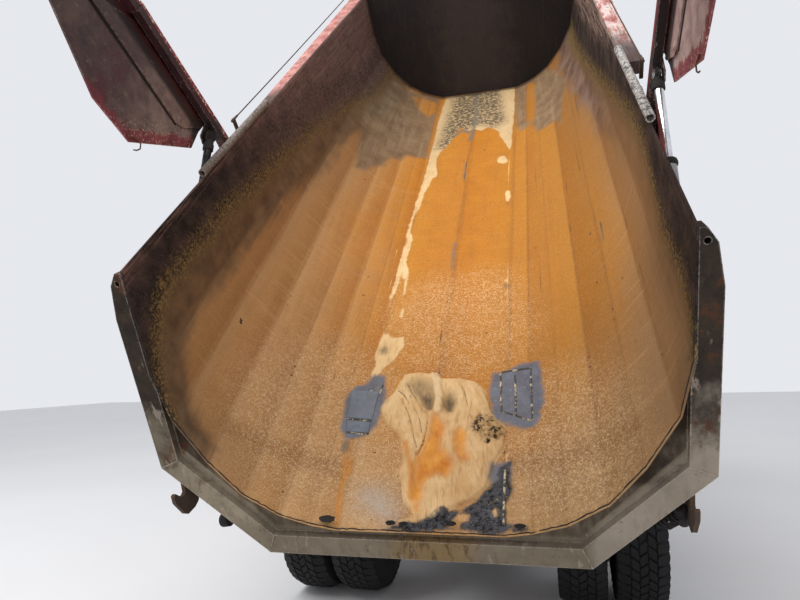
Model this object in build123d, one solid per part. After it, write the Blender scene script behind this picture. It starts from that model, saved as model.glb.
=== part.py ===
from build123d import *
import math
import os

# Three-axle rigid tipper with a half-pipe bed, bed raised and tailgate open.
# Millimetres. X to the vehicle's right, Y forward to the cab, Z up from the ground.
# Y = 0 here is the raised bed's rear edge; everything is moved by ORIGIN_SHIFT at the end,
# so that the bounding box's bottom centre is the origin.
os.makedirs("parts", exist_ok=True)

# Driving dimensions of the chassis
TYRE_R = 525
TYRE_W = 300
RIM_R = 285
SPINDLE_R = 50
HUB_BORE_R = SPINDLE_R + 0.05
AXLE_Z = TYRE_R
REAR_AXLE_Y = 1570
MIDDLE_AXLE_Y = 2950
FRONT_AXLE_Y = 6750
TWIN_INNER_X = 740
TWIN_OUTER_X = 1090
FRONT_WHEEL_X = 1040
KINGPIN_X = 860
RAIL_IN = 320
RAIL_OUT = 400
RAIL_BOTTOM = 690
RAIL_TOP = 960
SUBFRAME_TOP = 1170

# Tip hinge, tip angle, and the hinge's place in the bed's own frame
HINGE_Y = 800
HINGE_Z = 1050
TIP = 47
HINGE_FWD = 820
HINGE_UP = -329
HINGE_PIN_R = 30
RUNNING_GAP = 0.05

# Bed: half-pipe section, length, lean of the rear frame
BED_LENGTH = 5160
BED_SKIN = 8
REAR_LEAN = 21
FRAME_HALF = 1250
BEARERS = 6
RAIL_START = 2270
POST_TOP = 1484

# Tailgate: pivot in the bed's frame and opening angle
GATE_PIVOT_FWD = 1900
GATE_PIVOT_UP = 1100
GATE_OPEN = 73
GATE_PIN_R = 30
CHEEK_IN = 1255.5
CHEEK_OUT = 1263.5

# Tailgate cylinders: base, rod eye on the open gate, in the bed's frame
GATE_CYL_X = 1203
GATE_CYL_BASE = (450, 720)
GATE_CYL_EYE = (1720, 1460)
GATE_BARREL_R = 34
GATE_ROD_R = 22
GATE_BARREL_LENGTH = 995

# Front hoist: base on the chassis, eye on the bed
HOIST_BASE_Y = 5850
HOIST_BASE_Z = 950
HOIST_EYE_FWD = BED_LENGTH + 390
HOIST_EYE_UP = 1200
HOIST_BARREL = (-180, 1440)
HOIST_RADII = (115, 99, 83, 67)
HOIST_WALL = 15

# Cab
CAB_BACK = 6350
CAB_HALF = 1150
CAB_FLOOR = 1130
CAB_ROOF = 2830
CAB_WALL = 40
DOOR_FRONT = 7800
DOOR_BACK = 6950
DOOR_GAP = 6
DOOR_AXIS_X = CAB_HALF + 16
DOOR_AXIS_Y = DOOR_FRONT + 3
HINGE_HEIGHTS = (1340, 1760)
GLASS_X = CAB_HALF - 23
SIDE_WINDOW = [(6480, 1950), (6480, 2600), (6820, 2620), (6820, 1950)]
BUMPER_HALF = CAB_HALF + 30
STEP_IN = CAB_HALF - 290
MIRROR_X = CAB_HALF + 150

ORIGIN_SHIFT = -3271.9

# Half-pipe section: x and height of the inner face at the rear frame and at the bulkhead
SECTION = [
    # x rear, up rear, x front, up front
    (0, 145, 0, 150),
    (400, 145, 400, 155),
    (520, 165, 500, 190),
    (669, 210, 600, 235),
    (844, 316, 730, 330),
    (985, 485, 860, 490),
    (1110, 700, 965, 700),
    (1155, 920, 1000, 920),
    (1155, 1390, 1000, 1320),
]

# Basic shapes


def block(x0, x1, y0, y1, z0, z1):
    return Pos((x0 + x1) / 2, (y0 + y1) / 2, (z0 + z1) / 2) * Box(abs(x1 - x0), abs(y1 - y0), abs(z1 - z0))


def side_plate(points, x0, x1):
    face = make_face(Polyline(*points, close=True))
    return extrude(Plane.YZ.offset(x0) * face, x1 - x0)


def cross_plate(points, y0, y1):
    face = make_face(Polyline(*points, close=True))
    return extrude(Plane.XZ.offset(-y1) * face, y1 - y0)


def rod_x(radius, x0, x1, y, z):
    return Pos((x0 + x1) / 2, y, z) * Rot(0, 90, 0) * Cylinder(radius, abs(x1 - x0))


def rod_y(radius, x, y0, y1, z):
    return Pos(x, (y0 + y1) / 2, z) * Rot(90, 0, 0) * Cylinder(radius, abs(y1 - y0))


def rod_z(radius, x, y, z0, z1):
    return Pos(x, y, (z0 + z1) / 2) * Cylinder(radius, abs(z1 - z0))


def standing(radius, length):
    return Cylinder(radius, length, align=(Align.CENTER, Align.CENTER, Align.MIN))


def rod_between(p, q, radius):
    p, q = Vector(*p), Vector(*q)
    d = q - p
    return Plane(origin=p, z_dir=d) * standing(radius, d.length)


def joined(shapes):
    first, *rest = shapes
    return first.fuse(*rest) if rest else first


def both_sides(shape):
    return [shape, mirror(shape, about=Plane.YZ)]


def along(x, p, q):
    # A place at p in the side view whose +Z points to q.
    return Pos(x, p[0], p[1]) * Rot(-math.degrees(math.atan2(q[0] - p[0], q[1] - p[1])), 0, 0)


BED_PLACE = Pos(0, HINGE_Y, HINGE_Z) * Rot(TIP, 0, 0) * Pos(0, -HINGE_FWD, -HINGE_UP)
GATE_PLACE = (
    BED_PLACE
    * Pos(0, GATE_PIVOT_FWD, GATE_PIVOT_UP)
    * Rot(-GATE_OPEN, 0, 0)
    * Pos(0, -GATE_PIVOT_FWD, -GATE_PIVOT_UP)
)
LEAN_SIN = math.sin(math.radians(REAR_LEAN))
LEAN_COS = math.cos(math.radians(REAR_LEAN))
REAR_PLANE = Plane(origin=(0, 0, 0), x_dir=(1, 0, 0), z_dir=(0, -LEAN_COS, LEAN_SIN))

nodes = {}


def keep(name, shapes, place=None):
    shape = joined(list(shapes)) if isinstance(shapes, (list, tuple)) else shapes
    if place is not None:
        shape = place * shape
    nodes[name] = shape


# Chassis


def chassis_frame():
    out = []
    for side in (-1, 1):
        web = block(side * (RAIL_OUT - 8), side * RAIL_OUT, 650, 7950, RAIL_BOTTOM, RAIL_TOP)
        low = block(side * RAIL_IN, side * RAIL_OUT, 650, 7950, RAIL_BOTTOM, RAIL_BOTTOM + 8)
        top = block(side * RAIL_IN, side * RAIL_OUT, 650, 7950, RAIL_TOP - 8, RAIL_TOP)
        out += [web, low, top]
        # Cab mounts on the rails
        for y0, y1 in ((6390, 6470), (7700, 7800)):
            out.append(block(side * RAIL_IN, side * RAIL_OUT, y0, y1, RAIL_TOP, CAB_FLOOR))
    members = [
        # y low, y high, z low, z high
        (650, 670, 690, 960),
        (1520, 1620, 820, 940),
        (2200, 2320, 740, 900),
        (2900, 3000, 820, 940),
        (3900, 3980, 820, 940),
        (4900, 4980, 820, 940),
        (7860, 7940, 700, 900),
    ]
    for y0, y1, z0, z1 in members:
        out.append(block(-RAIL_OUT + 8, RAIL_OUT - 8, y0, y1, z0, z1))
    frame = joined(out)
    # Drawbar coupling pattern in the rear crossmember
    for x in (-80, 80):
        for z in (775, 875):
            frame = frame - rod_y(10.5, x, 640, 680, z)
    keep("chassis_frame", frame)


def tipper_subframe():
    out = []
    for side in (-1, 1):
        out.append(block(side * RAIL_IN, side * RAIL_OUT, 740, HOIST_BASE_Y + 150, RAIL_TOP, SUBFRAME_TOP))
        for y in (1500, 2700, 3900, 5000):
            out.append(block(side * 335, side * 385, y, y + 160, SUBFRAME_TOP, SUBFRAME_TOP + 20))
        # Hinge pin stub and its washer
        out.append(rod_x(HINGE_PIN_R, side * RAIL_OUT, side * 456, HINGE_Y, HINGE_Z))
        out.append(rod_x(46, side * 453, side * 465, HINGE_Y, HINGE_Z))
        # Hoist trunnion bearing reaching in from the subframe
        bearing = block(side * 125, side * RAIL_IN, HOIST_BASE_Y - 70, HOIST_BASE_Y + 70, 965, 1040)
        bearing = bearing.fuse(
            block(side * 125, side * 185, HOIST_BASE_Y - 70, HOIST_BASE_Y + 70, HOIST_BASE_Z - 60, 1040)
        )
        bearing = bearing - rod_x(35 + RUNNING_GAP, side * 120, side * 200, HOIST_BASE_Y, HOIST_BASE_Z)
        out.append(bearing)
    for y in (1700, 3300, 4600):
        out.append(block(-RAIL_IN, RAIL_IN, y, y + 80, 1000, 1120))
    keep("tipper_subframe", out)


def leaf_springs():
    front = side_plate(
        [
            (6050, 655), (6400, 610), (6750, 580), (7100, 610), (7450, 655),
            (7450, 690), (7100, 665), (6750, 650), (6400, 665), (6050, 690),
        ],
        RAIL_IN,
        RAIL_OUT,
    )
    bogie = side_plate(
        [
            (1470, 600), (1670, 600), (1950, 640), (2260, 655), (2570, 640), (2850, 600), (3050, 600),
            (3050, 640), (2720, 720), (2260, 760), (1800, 720), (1470, 640),
        ],
        430,
        520,
    )
    saddle = block(430, 520, 2180, 2340, 370, 655)
    hanger = block(RAIL_OUT, 430, 2180, 2340, 370, 800)
    out = []
    for shape in (front, joined([bogie, saddle, hanger])):
        out += both_sides(shape)
    out.append(rod_x(50, -430, 430, 2260, 420))
    keep("leaf_springs", out)


def axles():
    beam = cross_plate(
        [
            (-800, 560), (-560, 560), (-440, 580), (440, 580), (560, 560), (800, 560),
            (800, 480), (560, 480), (440, 470), (-440, 470), (-560, 480), (-800, 480),
        ],
        FRONT_AXLE_Y - 55,
        FRONT_AXLE_Y + 55,
    )
    ends = [rod_z(45, side * KINGPIN_X, FRONT_AXLE_Y, 470, 580) for side in (-1, 1)]
    arms = []
    for side in (-1, 1):
        arms.append(block(side * 790, side * KINGPIN_X, FRONT_AXLE_Y - 45, FRONT_AXLE_Y + 45, 480, 560))
    pins = [rod_z(20, side * KINGPIN_X, FRONT_AXLE_Y, 420, 630) for side in (-1, 1)]
    keep("front_axle", [beam] + ends + arms + pins)
    out = []
    for y in (REAR_AXLE_Y, MIDDLE_AXLE_Y):
        casing = rod_x(75, -690, 690, y, AXLE_Z).fuse(Pos(0, y, AXLE_Z) * Sphere(200))
        casing = casing.fuse(rod_y(95, 0, y + 120, y + 260, AXLE_Z + 25))
        if y == MIDDLE_AXLE_Y:
            casing = casing.fuse(rod_y(70, 0, y - 260, y - 120, AXLE_Z))
        out.append(casing)
        for side in (-1, 1):
            out.append(rod_x(SPINDLE_R, side * 690, side * 1040, y, AXLE_Z))
    keep("drive_axles", out)


def drivetrain():
    engine = block(-300, 300, 6560, 7700, 640, 1090)
    gearbox = block(-200, 200, 6080, 6560, 560, 900)
    shafts = []
    for front, rear, radius in (
        ((6080, 660), (MIDDLE_AXLE_Y + 260, AXLE_Z + 25), 50),
        ((MIDDLE_AXLE_Y - 260, AXLE_Z), (REAR_AXLE_Y + 260, AXLE_Z + 25), 45),
    ):
        # A yoke at each end and the tube between their middles
        tube = rod_between((0, front[0] - 50, front[1]), (0, rear[0] + 50, rear[1]), radius)
        yokes = [rod_y(radius + 15, 0, front[0] - 90, front[0], front[1])]
        yokes.append(rod_y(radius + 15, 0, rear[0], rear[0] + 90, rear[1]))
        shafts.append(joined([tube] + yokes))
    keep("engine_and_gearbox", [engine, gearbox])
    keep("propeller_shafts", shafts)


def side_gear():
    tank = fillet(block(-1150, -470, 4300, 5650, 480, 1080).edges().filter_by(Axis.Y), 60)
    straps = [block(-480, -RAIL_OUT, y, y + 80, 700, 940) for y in (4500, 5370)]
    keep("fuel_tank", [tank] + straps)
    box = fillet(block(470, 1130, 4900, 5650, 500, 1000).edges().filter_by(Axis.Y), 30)
    keep("battery_box", [box, block(RAIL_OUT, 480, 5000, 5560, 720, 940)])
    vessels = [rod_y(130, 640, 3750, 4750, 790), rod_y(130, 930, 3750, 4750, 790)]
    bars = [block(RAIL_OUT, 1000, y, y + 40, 915, 940) for y in (3850, 4600)]
    keep("air_vessels", vessels + bars)
    stack = rod_z(75, 850, 6180, 1000, 2900).fuse(rod_z(140, 850, 6180, 1150, 1950))
    foot = block(RAIL_OUT, 850, 6150, 6210, 880, 940)
    keep("exhaust_stack", [stack, foot, rod_z(75, 850, 6180, 900, 1010)])


def rear_gear():
    guard_out = TYRE_R + 75
    out = []
    for y, low, high in ((REAR_AXLE_Y, 20, 150), (MIDDLE_AXLE_Y, 30, 160)):
        points = []
        for step in range(9):
            a = math.radians(low + (high - low) * step / 8)
            points.append((y + guard_out * math.cos(a), AXLE_Z + guard_out * math.sin(a)))
        for step in range(9):
            a = math.radians(high - (high - low) * step / 8)
            points.append((y + (guard_out - 8) * math.cos(a), AXLE_Z + (guard_out - 8) * math.sin(a)))
        out += both_sides(side_plate(points, 585, 1245))
        top = AXLE_Z + guard_out
        out += both_sides(block(RAIL_OUT, 590, y - 30, y + 30, top - 30, top - 8))
        out += both_sides(block(RAIL_OUT, 430, y - 30, y + 30, 900, AXLE_Z + guard_out - 8))
    keep("rear_mudguards", out)
    bar = block(-740, 740, 560, 620, 600, 700)
    stays = [block(side * 330, side * 390, 610, 700, 610, RAIL_BOTTOM) for side in (-1, 1)]
    lamps = [block(side * 450, side * 730, 545, 562, 615, 690) for side in (-1, 1)]
    keep("rear_lamp_bar", [bar] + stays + lamps)


# Wheels


def tyre(x):
    half = TYRE_W / 2
    profile = [
        (RIM_R, -105), (400, -half), (480, -half + 4), (TYRE_R, -half + 32),
        (TYRE_R, half - 32), (480, half - 4), (400, half), (RIM_R, 105),
    ]
    face = make_face(Polyline(*[(x + a, r) for r, a in profile], close=True))
    return revolve(face, Axis.X)


def rim(x, dish, hub_in, hub_out):
    # Barrel, disc at the dish, and hub barrel, all turned about X.
    profile = [
        (RIM_R, x - 105), (RIM_R, x + 105), (RIM_R - 14, x + 105), (RIM_R - 22, dish + 12),
        (130, dish + 12), (110, hub_out), (HUB_BORE_R, hub_out), (HUB_BORE_R, hub_in), (120, hub_in),
        (120, dish), (RIM_R - 22, dish), (RIM_R - 14, x - 105),
    ]
    face = make_face(Polyline(*[(a, r) for r, a in profile], close=True))
    return revolve(face, Axis.X)


def wheels():
    for name, side in (("left", -1), ("right", 1)):
        place = Pos(side * 0, FRONT_AXLE_Y, AXLE_Z)
        right_tyre = tyre(FRONT_WHEEL_X)
        right_rim = rim(FRONT_WHEEL_X, FRONT_WHEEL_X + 40, FRONT_WHEEL_X - 60, FRONT_WHEEL_X + 110)
        for part, shape in (("tyre", right_tyre), ("rim", right_rim)):
            if side < 0:
                shape = mirror(shape, about=Plane.YZ)
            keep(f"front_{part}_{name}", shape, place)
        for axle, y in (("middle", MIDDLE_AXLE_Y), ("rear", REAR_AXLE_Y)):
            place = Pos(0, y, AXLE_Z)
            twin = [tyre(TWIN_INNER_X), tyre(TWIN_OUTER_X)]
            disc = rim(TWIN_OUTER_X, 905, 700, TWIN_OUTER_X + 60)
            # The inner rim, dished out to the outer rim's disc
            inner_profile = [
                (635, RIM_R), (845, RIM_R), (845, RIM_R - 14), (905, 200), (905, 121), (893, 121),
                (893, 196), (833, RIM_R - 14), (635, RIM_R - 14),
            ]
            inner = revolve(make_face(Polyline(*inner_profile, close=True)), Axis.X)
            for part, shapes in (("tyres", twin), ("rims", [disc, inner])):
                shape = joined(shapes)
                if side < 0:
                    shape = mirror(shape, about=Plane.YZ)
                keep(f"{axle}_{part}_{name}", shape, place)


def knuckles():
    y, z = FRONT_AXLE_Y, AXLE_Z
    for name, side in (("left", -1), ("right", 1)):
        x = KINGPIN_X
        upper = block(x - 50, x + 80, y - 50, y + 50, 588, 625) - rod_z(20 + RUNNING_GAP, x, y, 580, 640)
        lower = block(x - 50, x + 80, y - 50, y + 50, 425, 462) - rod_z(20 + RUNNING_GAP, x, y, 420, 470)
        back = block(x + 55, x + 80, y - 50, y + 50, 425, 625)
        spindle = rod_x(SPINDLE_R, x + 70, FRONT_WHEEL_X + 60, y, z)
        shape = joined([upper, lower, back, spindle])
        if side < 0:
            shape = mirror(shape, about=Plane.YZ)
        keep(f"knuckle_{name}", shape)


# Cab


CAB_SIDE = [
    (CAB_BACK, CAB_FLOOR), (CAB_BACK, CAB_ROOF - 90), (CAB_BACK + 90, CAB_ROOF), (7650, CAB_ROOF + 20),
    (7880, CAB_ROOF - 70), (8090, 1900), (8130, 1500), (8130, CAB_FLOOR),
]
CAB_INSIDE = [
    (CAB_BACK + CAB_WALL, CAB_FLOOR + CAB_WALL), (CAB_BACK + CAB_WALL, CAB_ROOF - 110),
    (CAB_BACK + 110, CAB_ROOF - CAB_WALL), (7640, CAB_ROOF - 20), (7850, CAB_ROOF - 95),
    (8050, 1895), (8090, 1495), (8090, CAB_FLOOR + CAB_WALL),
]
DOOR_OUTLINE = [
    (DOOR_BACK, CAB_FLOOR + 60), (DOOR_BACK, CAB_ROOF - 130), (7560, CAB_ROOF - 110),
    (7640, CAB_ROOF - 190), (DOOR_FRONT, 1960), (DOOR_FRONT, CAB_FLOOR + 60),
]
WINDOW_OUTLINE = [
    (DOOR_BACK + 80, 1860), (DOOR_BACK + 80, CAB_ROOF - 210), (7510, CAB_ROOF - 190),
    (7570, CAB_ROOF - 250), (DOOR_FRONT - 70, 1860),
]


def grown(points, gap):
    # The outline moved outward by gap.
    wire = offset(make_face(Polyline(*points, close=True)), gap, kind=Kind.INTERSECTION)
    return wire


def cab():
    shell = side_plate(CAB_SIDE, -CAB_HALF, CAB_HALF)
    shell = fillet(shell.edges().filter_by(Axis.X).group_by(Axis.Z)[-1], 40)
    shell = shell - side_plate(CAB_INSIDE, -CAB_HALF + CAB_WALL, CAB_HALF - CAB_WALL)
    for side in (-1, 1):
        door_plane = Plane.YZ.offset(side * (CAB_HALF - CAB_WALL - 5))
        shell = shell - extrude(door_plane * grown(DOOR_OUTLINE, DOOR_GAP), side * 60)
        rear_side = side_plate(SIDE_WINDOW, side * (CAB_HALF - 50), side * (CAB_HALF + 10))
        shell = shell - rear_side
    low, high = CAB_HALF - 140, CAB_HALF - 190
    windscreen = cross_plate([(-low, 1950), (low, 1950), (high, 2660), (-high, 2660)], 7700, 8200)
    shell = shell - windscreen
    rear_window = block(-420, 420, 6300, 6400, 2050, 2500)
    shell = shell - rear_window
    # Door hinges: a pin between two lugs, outside the pillar
    for side in (-1, 1):
        for z in HINGE_HEIGHTS:
            for low, high in ((z - 50, z - 32), (z + 32, z + 50)):
                x0, x1 = side * (CAB_HALF - 5), side * (DOOR_AXIS_X + 14)
                lug = block(x0, x1, DOOR_AXIS_Y, DOOR_AXIS_Y + 30, low, high)
                shell = shell.fuse(lug, rod_z(14, side * DOOR_AXIS_X, DOOR_AXIS_Y, low, high))
            shell = shell.fuse(rod_z(8, side * DOOR_AXIS_X, DOOR_AXIS_Y, z - 40, z + 40))
    # Front wheel arch
    for side in (-1, 1):
        shell = shell - rod_x(640, side * 540, side * (CAB_HALF + 50), FRONT_AXLE_Y, AXLE_Z)
    keep("cab_shell", shell)

    # Fixed glass: windscreen, rear window and rear side windows, 6 mm thick
    pane_side = [(8064, 1900), (8070, 1900), (7860, 2760), (7854, 2760)]
    slab = side_plate(pane_side, 100 - CAB_HALF, CAB_HALF - 100)
    out = [slab & windscreen, block(-420, 420, 6366, 6372, 2050, 2500)]
    for side in (-1, 1):
        out.append(side_plate(SIDE_WINDOW, side * GLASS_X, side * (GLASS_X + 6)))
    keep("cab_glass", out)

    for name, side in (("left", -1), ("right", 1)):
        door = side_plate(DOOR_OUTLINE, side * (CAB_HALF - CAB_WALL), side * CAB_HALF)
        door = door - side_plate(WINDOW_OUTLINE, side * (CAB_HALF - 150), side * (CAB_HALF + 50))
        door = door.fuse(block(side * CAB_HALF, side * (CAB_HALF + 18), 6990, 7130, 1700, 1740))
        for z in HINGE_HEIGHTS:
            x0, x1 = side * (CAB_HALF - 5), side * (DOOR_AXIS_X + 4)
            leaf = block(x0, x1, DOOR_AXIS_Y - 60, DOOR_AXIS_Y - 5, z - 30, z + 30)
            barrel = rod_z(14, side * DOOR_AXIS_X, DOOR_AXIS_Y, z - 30, z + 30)
            bore = rod_z(8 + RUNNING_GAP, side * DOOR_AXIS_X, DOOR_AXIS_Y, z - 40, z + 40)
            door = door.fuse(leaf, barrel) - bore
        keep(f"door_{name}", door)
        pane = make_face(Polyline(*WINDOW_OUTLINE, close=True))
        keep(f"door_glass_{name}", extrude(Plane.YZ.offset(side * GLASS_X) * pane, side * 6))

    dash_side = [(7640, 1620), (7640, 1840), (7780, 1900), (8051.5, 1880), (8089.5, 1500), (7800, 1480)]
    dash = side_plate(dash_side, 70 - CAB_HALF, CAB_HALF - 70)
    wheel_place = Pos(-560, 7470, 1840) * Rot(35, 0, 0)
    wheel = wheel_place * Torus(225, 16)
    column = rod_between((-560, 7470, 1840), (-560, 7700, 1640), 28)
    spokes = wheel_place * Box(430, 40, 14)
    keep("dashboard", [dash, wheel, column, spokes])
    seats = []
    for x in (-560, 560):
        base = block(x - 240, x + 240, 6830, 7330, CAB_FLOOR + CAB_WALL, 1430)
        cushion = fillet(block(x - 260, x + 260, 6800, 7350, 1430, 1560).edges(), 40)
        back = side_plate([(6810, 1540), (6950, 1540), (6760, 2280), (6640, 2260)], x - 250, x + 250)
        head = side_plate([(6640, 2290), (6740, 2300), (6710, 2480), (6620, 2470)], x - 140, x + 140)
        post = block(x - 40, x + 40, 6650, 6720, 2240, 2310)
        seats += [base, cushion, back, head, post]
    keep("seats", seats)


def cab_front():
    bumper = side_plate(
        [(7860, 480), (7860, 760), (7900, 1110), (8150, 1110), (8200, 1000), (8200, 560), (8130, 480)],
        -BUMPER_HALF,
        BUMPER_HALF,
    )
    bumper = bumper - block(-430, 430, 7840, 7955, 470, 1120)
    for side in (-1, 1):
        bumper = bumper - block(side * (BUMPER_HALF - 480), side * (BUMPER_HALF - 120), 8150, 8220, 640, 850)
        lamp = block(side * (BUMPER_HALF - 480), side * (BUMPER_HALF - 120), 8140, 8170, 640, 850)
        bumper = bumper.fuse(lamp)
    ears = block(-60, 60, 8190, 8290, 600, 630).fuse(block(-60, 60, 8190, 8290, 700, 730))
    ears = ears - rod_z(16, 0, 8250, 590, 740)
    stays = [block(side * RAIL_IN, side * RAIL_OUT, 7950, 7965, RAIL_BOTTOM, RAIL_TOP) for side in (-1, 1)]
    keep("front_bumper", [bumper, ears] + stays)
    slats = [block(-820, 820, 8130, 8150, z, z + 60) for z in (1190, 1300, 1410, 1520)]
    slats += [block(x - 15, x + 15, 8130, 8142, 1180, 1590) for x in (-800, -400, 0, 400, 800)]
    keep("grille", slats)

    steps = []
    for side in (-1, 1):
        for z in (560, 830):
            steps.append(block(side * STEP_IN, side * BUMPER_HALF, 7440, 7860, z, z + 40))
        steps.append(block(side * (STEP_IN - 20), side * (STEP_IN + 10), 7440, 7860, 560, 1120))
        steps.append(block(side * STEP_IN, side * BUMPER_HALF, 7440, 7460, 560, 1120))
        points = []
        for step in range(9):
            a = math.radians(25 + 130 * step / 8)
            points.append((FRONT_AXLE_Y + 632 * math.cos(a), AXLE_Z + 600 * math.sin(a)))
        for step in range(9):
            a = math.radians(155 - 130 * step / 8)
            points.append((FRONT_AXLE_Y + 624 * math.cos(a), AXLE_Z + 592 * math.sin(a)))
        steps.append(side_plate(points, side * 700, side * (CAB_HALF + 40)))
        steps.append(block(side * RAIL_OUT, side * 710, FRONT_AXLE_Y - 600, FRONT_AXLE_Y - 540, 740, 860))
    keep("steps_and_arches", steps)

    mirrors = []
    for side in (-1, 1):
        mirrors.append(block(side * (MIRROR_X - 70), side * (MIRROR_X + 120), 7810, 7875, 1900, 2420))
        for z in (1850, 2450):
            mirrors.append(rod_x(12, side * CAB_HALF, side * (MIRROR_X + 10), 7845, z))
        mirrors.append(rod_z(12, side * MIRROR_X, 7845, 1850, 1910))
        mirrors.append(rod_z(12, side * MIRROR_X, 7845, 2410, 2450))
    keep("mirrors", mirrors)


# Bed, in its own frame


def pipe_face(plane, column, outward, stretch):
    # The section's outline moved outward, closed along the top.
    pts = [(row[column], row[column + 1] / stretch) for row in SECTION]
    moved = []
    for i, (x, u) in enumerate(pts):
        before = pts[i - 1] if i else (-pts[1][0], pts[1][1])
        after = pts[i + 1] if i + 1 < len(pts) else (x, u + 100)
        a = Vector(x - before[0], u - before[1], 0).normalized()
        b = Vector(after[0] - x, after[1] - u, 0).normalized()
        normal = Vector(a.Y + b.Y, -(a.X + b.X), 0).normalized()
        scale = outward / max(0.5, normal.dot(Vector(a.Y, -a.X, 0)))
        moved.append((x + normal.X * scale, u + normal.Y * scale))
    left = [(-x, u) for x, u in reversed(moved[1:])]
    return plane * make_face(Polyline(*(left + moved), close=True))


def pipe_solid(outward):
    rear = pipe_face(REAR_PLANE, 0, outward, LEAN_COS)
    front_plane = Plane(origin=(0, BED_LENGTH, 0), x_dir=(1, 0, 0), z_dir=(0, -1, 0))
    front = pipe_face(front_plane, 2, outward, 1.0)
    return loft([rear, front], ruled=True)


def frame_outline():
    half, top = FRAME_HALF, POST_TOP
    right = [(767, 0), (half, 484), (half, 1268), (half - 24, top - 56), (half - 60, top)]
    return right + [(-x, up) for x, up in reversed(right)]


def bed():
    outer = pipe_solid(BED_SKIN)
    inner = pipe_solid(0)
    shell = outer - inner
    keep("bed_shell", shell, BED_PLACE)

    # Bulkhead with its ribs and the hoist's bracket
    front_plane = Plane(origin=(0, BED_LENGTH, 0), x_dir=(1, 0, 0), z_dir=(0, -1, 0))
    plate = extrude(pipe_face(front_plane, 2, BED_SKIN, 1.0), -8)
    ribs = [block(x - 40, x + 40, BED_LENGTH + 8, BED_LENGTH + 78, low, 1310) for x, low in
            ((-700, 330), (-300, 150), (300, 150), (700, 330))]
    ribs += [block(-960, 960, BED_LENGTH + 8, BED_LENGTH + 68, 1240, 1320)]
    ribs += [block(-780, 780, BED_LENGTH + 8, BED_LENGTH + 58, 640, 720)]
    for side in (-1, 1):
        ribs.append(
            side_plate(
                [(BED_LENGTH + 8, 1000), (BED_LENGTH + 8, 1320), (HOIST_EYE_FWD + 70, 1300),
                 (HOIST_EYE_FWD + 70, 1130), (HOIST_EYE_FWD - 60, 1120)],
                side * 60,
                side * 85,
            )
        )
    keep("bulkhead", [plate] + ribs, BED_PLACE)

    # Rear frame: a box profile round the opening and a recessed plate to the pipe's lip
    outside = make_face(Polyline(*frame_outline(), close=True))
    band_in = [
        (-725, 105), (725, 105), (1145, 528), (1145, 1500), (-1145, 1500), (-1145, 528),
    ]
    opening = make_face(Polyline(*band_in, close=True))
    band = extrude(REAR_PLANE * (outside - opening), -100)
    plate = [(-760, 60), (760, 60), (1180, 500), (1180, 1480), (-1180, 1480), (-1180, 500)]
    gusset = extrude(REAR_PLANE.offset(-40) * make_face(Polyline(*plate, close=True)), -10)
    lip_cut = outer
    frame = band.fuse(gusset) - lip_cut - Pos(0, 0, 300) * lip_cut
    frame = frame - block(-1155, 1155, -200, 900, 900, 1600)
    for side in (-1, 1):
        frame = frame - extrude(REAR_PLANE.offset(10) * Pos(side * 1190, 1436, 0) * Circle(12), -130)
    keep("rear_frame", frame, BED_PLACE)

    # Top rails outside the wall, from the tailgate pivots forward, and the worn tube on top
    rails = []
    for side in (-1, 1):
        points = [
            (side * 1090, RAIL_START), (side * 1220, RAIL_START),
            (side * 1130, BED_LENGTH), (side * 1005, BED_LENGTH),
        ]
        rails.append(extrude(Plane.XY.offset(1255) * make_face(Polyline(*points, close=True)), 75))
    tubes = []
    for side in (-1, 1):
        low, high = (side * 1130, 1385, 1400), (side * 1098, 2350, 1382)
        tubes.append(rod_between(low, high, 22) - rod_between(low, high, 16))
    keep("top_rails", [r - outer for r in rails] + [t - outer for t in tubes], BED_PLACE)

    # Underframe: stringers, bearers shaped to the pipe, hinge lugs
    under = []
    for side in (-1, 1):
        under.append(block(side * RAIL_IN, side * RAIL_OUT, 180, BED_LENGTH - 10, -180, 200))
        lug = block(side * RAIL_OUT, side * 448, HINGE_FWD - 120, HINGE_FWD + 120, -160, -20)
        drop = [(HINGE_FWD - 110, -160), (HINGE_FWD + 110, -160), (HINGE_FWD + 60, -400),
                (HINGE_FWD - 60, -400)]
        lug = lug.fuse(side_plate(drop, side * 408, side * 448))
        lug = lug - rod_x(HINGE_PIN_R + RUNNING_GAP, side * 380, side * 470, HINGE_FWD, HINGE_UP)
        under.append(lug)
    bearer = [(-860, 380), (-620, -60), (-400, -100), (400, -100), (620, -60), (860, 380)]
    for i in range(BEARERS):
        y = 900 + i * (BED_LENGTH - 1110) / (BEARERS - 1)
        under.append(cross_plate(bearer, y, y + 60))
    keep("bed_underframe", joined(under) - outer, BED_PLACE)

    # Tailgate brackets: ear plates with a bore, and the cylinder base pins
    ears = []
    for side in (-1, 1):
        outline = [(1740, 950), (1680, 1200), (1790, 1290), (2010, 1290), (2120, 1200), (2120, 950),
                   (1990, 820), (1810, 820)]
        for x0, x1 in ((1165, 1183), (1243, 1255)):
            ear = side_plate(outline, side * x0, side * x1)
            bore = rod_x(GATE_PIN_R + RUNNING_GAP, side * 1150, side * 1270, GATE_PIVOT_FWD, GATE_PIVOT_UP)
            ear = ear - bore
            ears.append(ear)
        ears.append(block(side * 1090, side * 1255, 1800, 2000, 820, 930))
        ears.append(block(side * 1090, side * 1170, 1700, 2110, 960, 1060))
        ears.append(block(side * 1090, side * 1165, 415, 500, 680, 760))
        ears.append(rod_x(15, side * 1165, side * 1226, *GATE_CYL_BASE))
        ears.append(rod_x(22, side * 1224, side * 1230, *GATE_CYL_BASE))
    keep("tailgate_brackets", [e - outer for e in ears], BED_PLACE)

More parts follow.
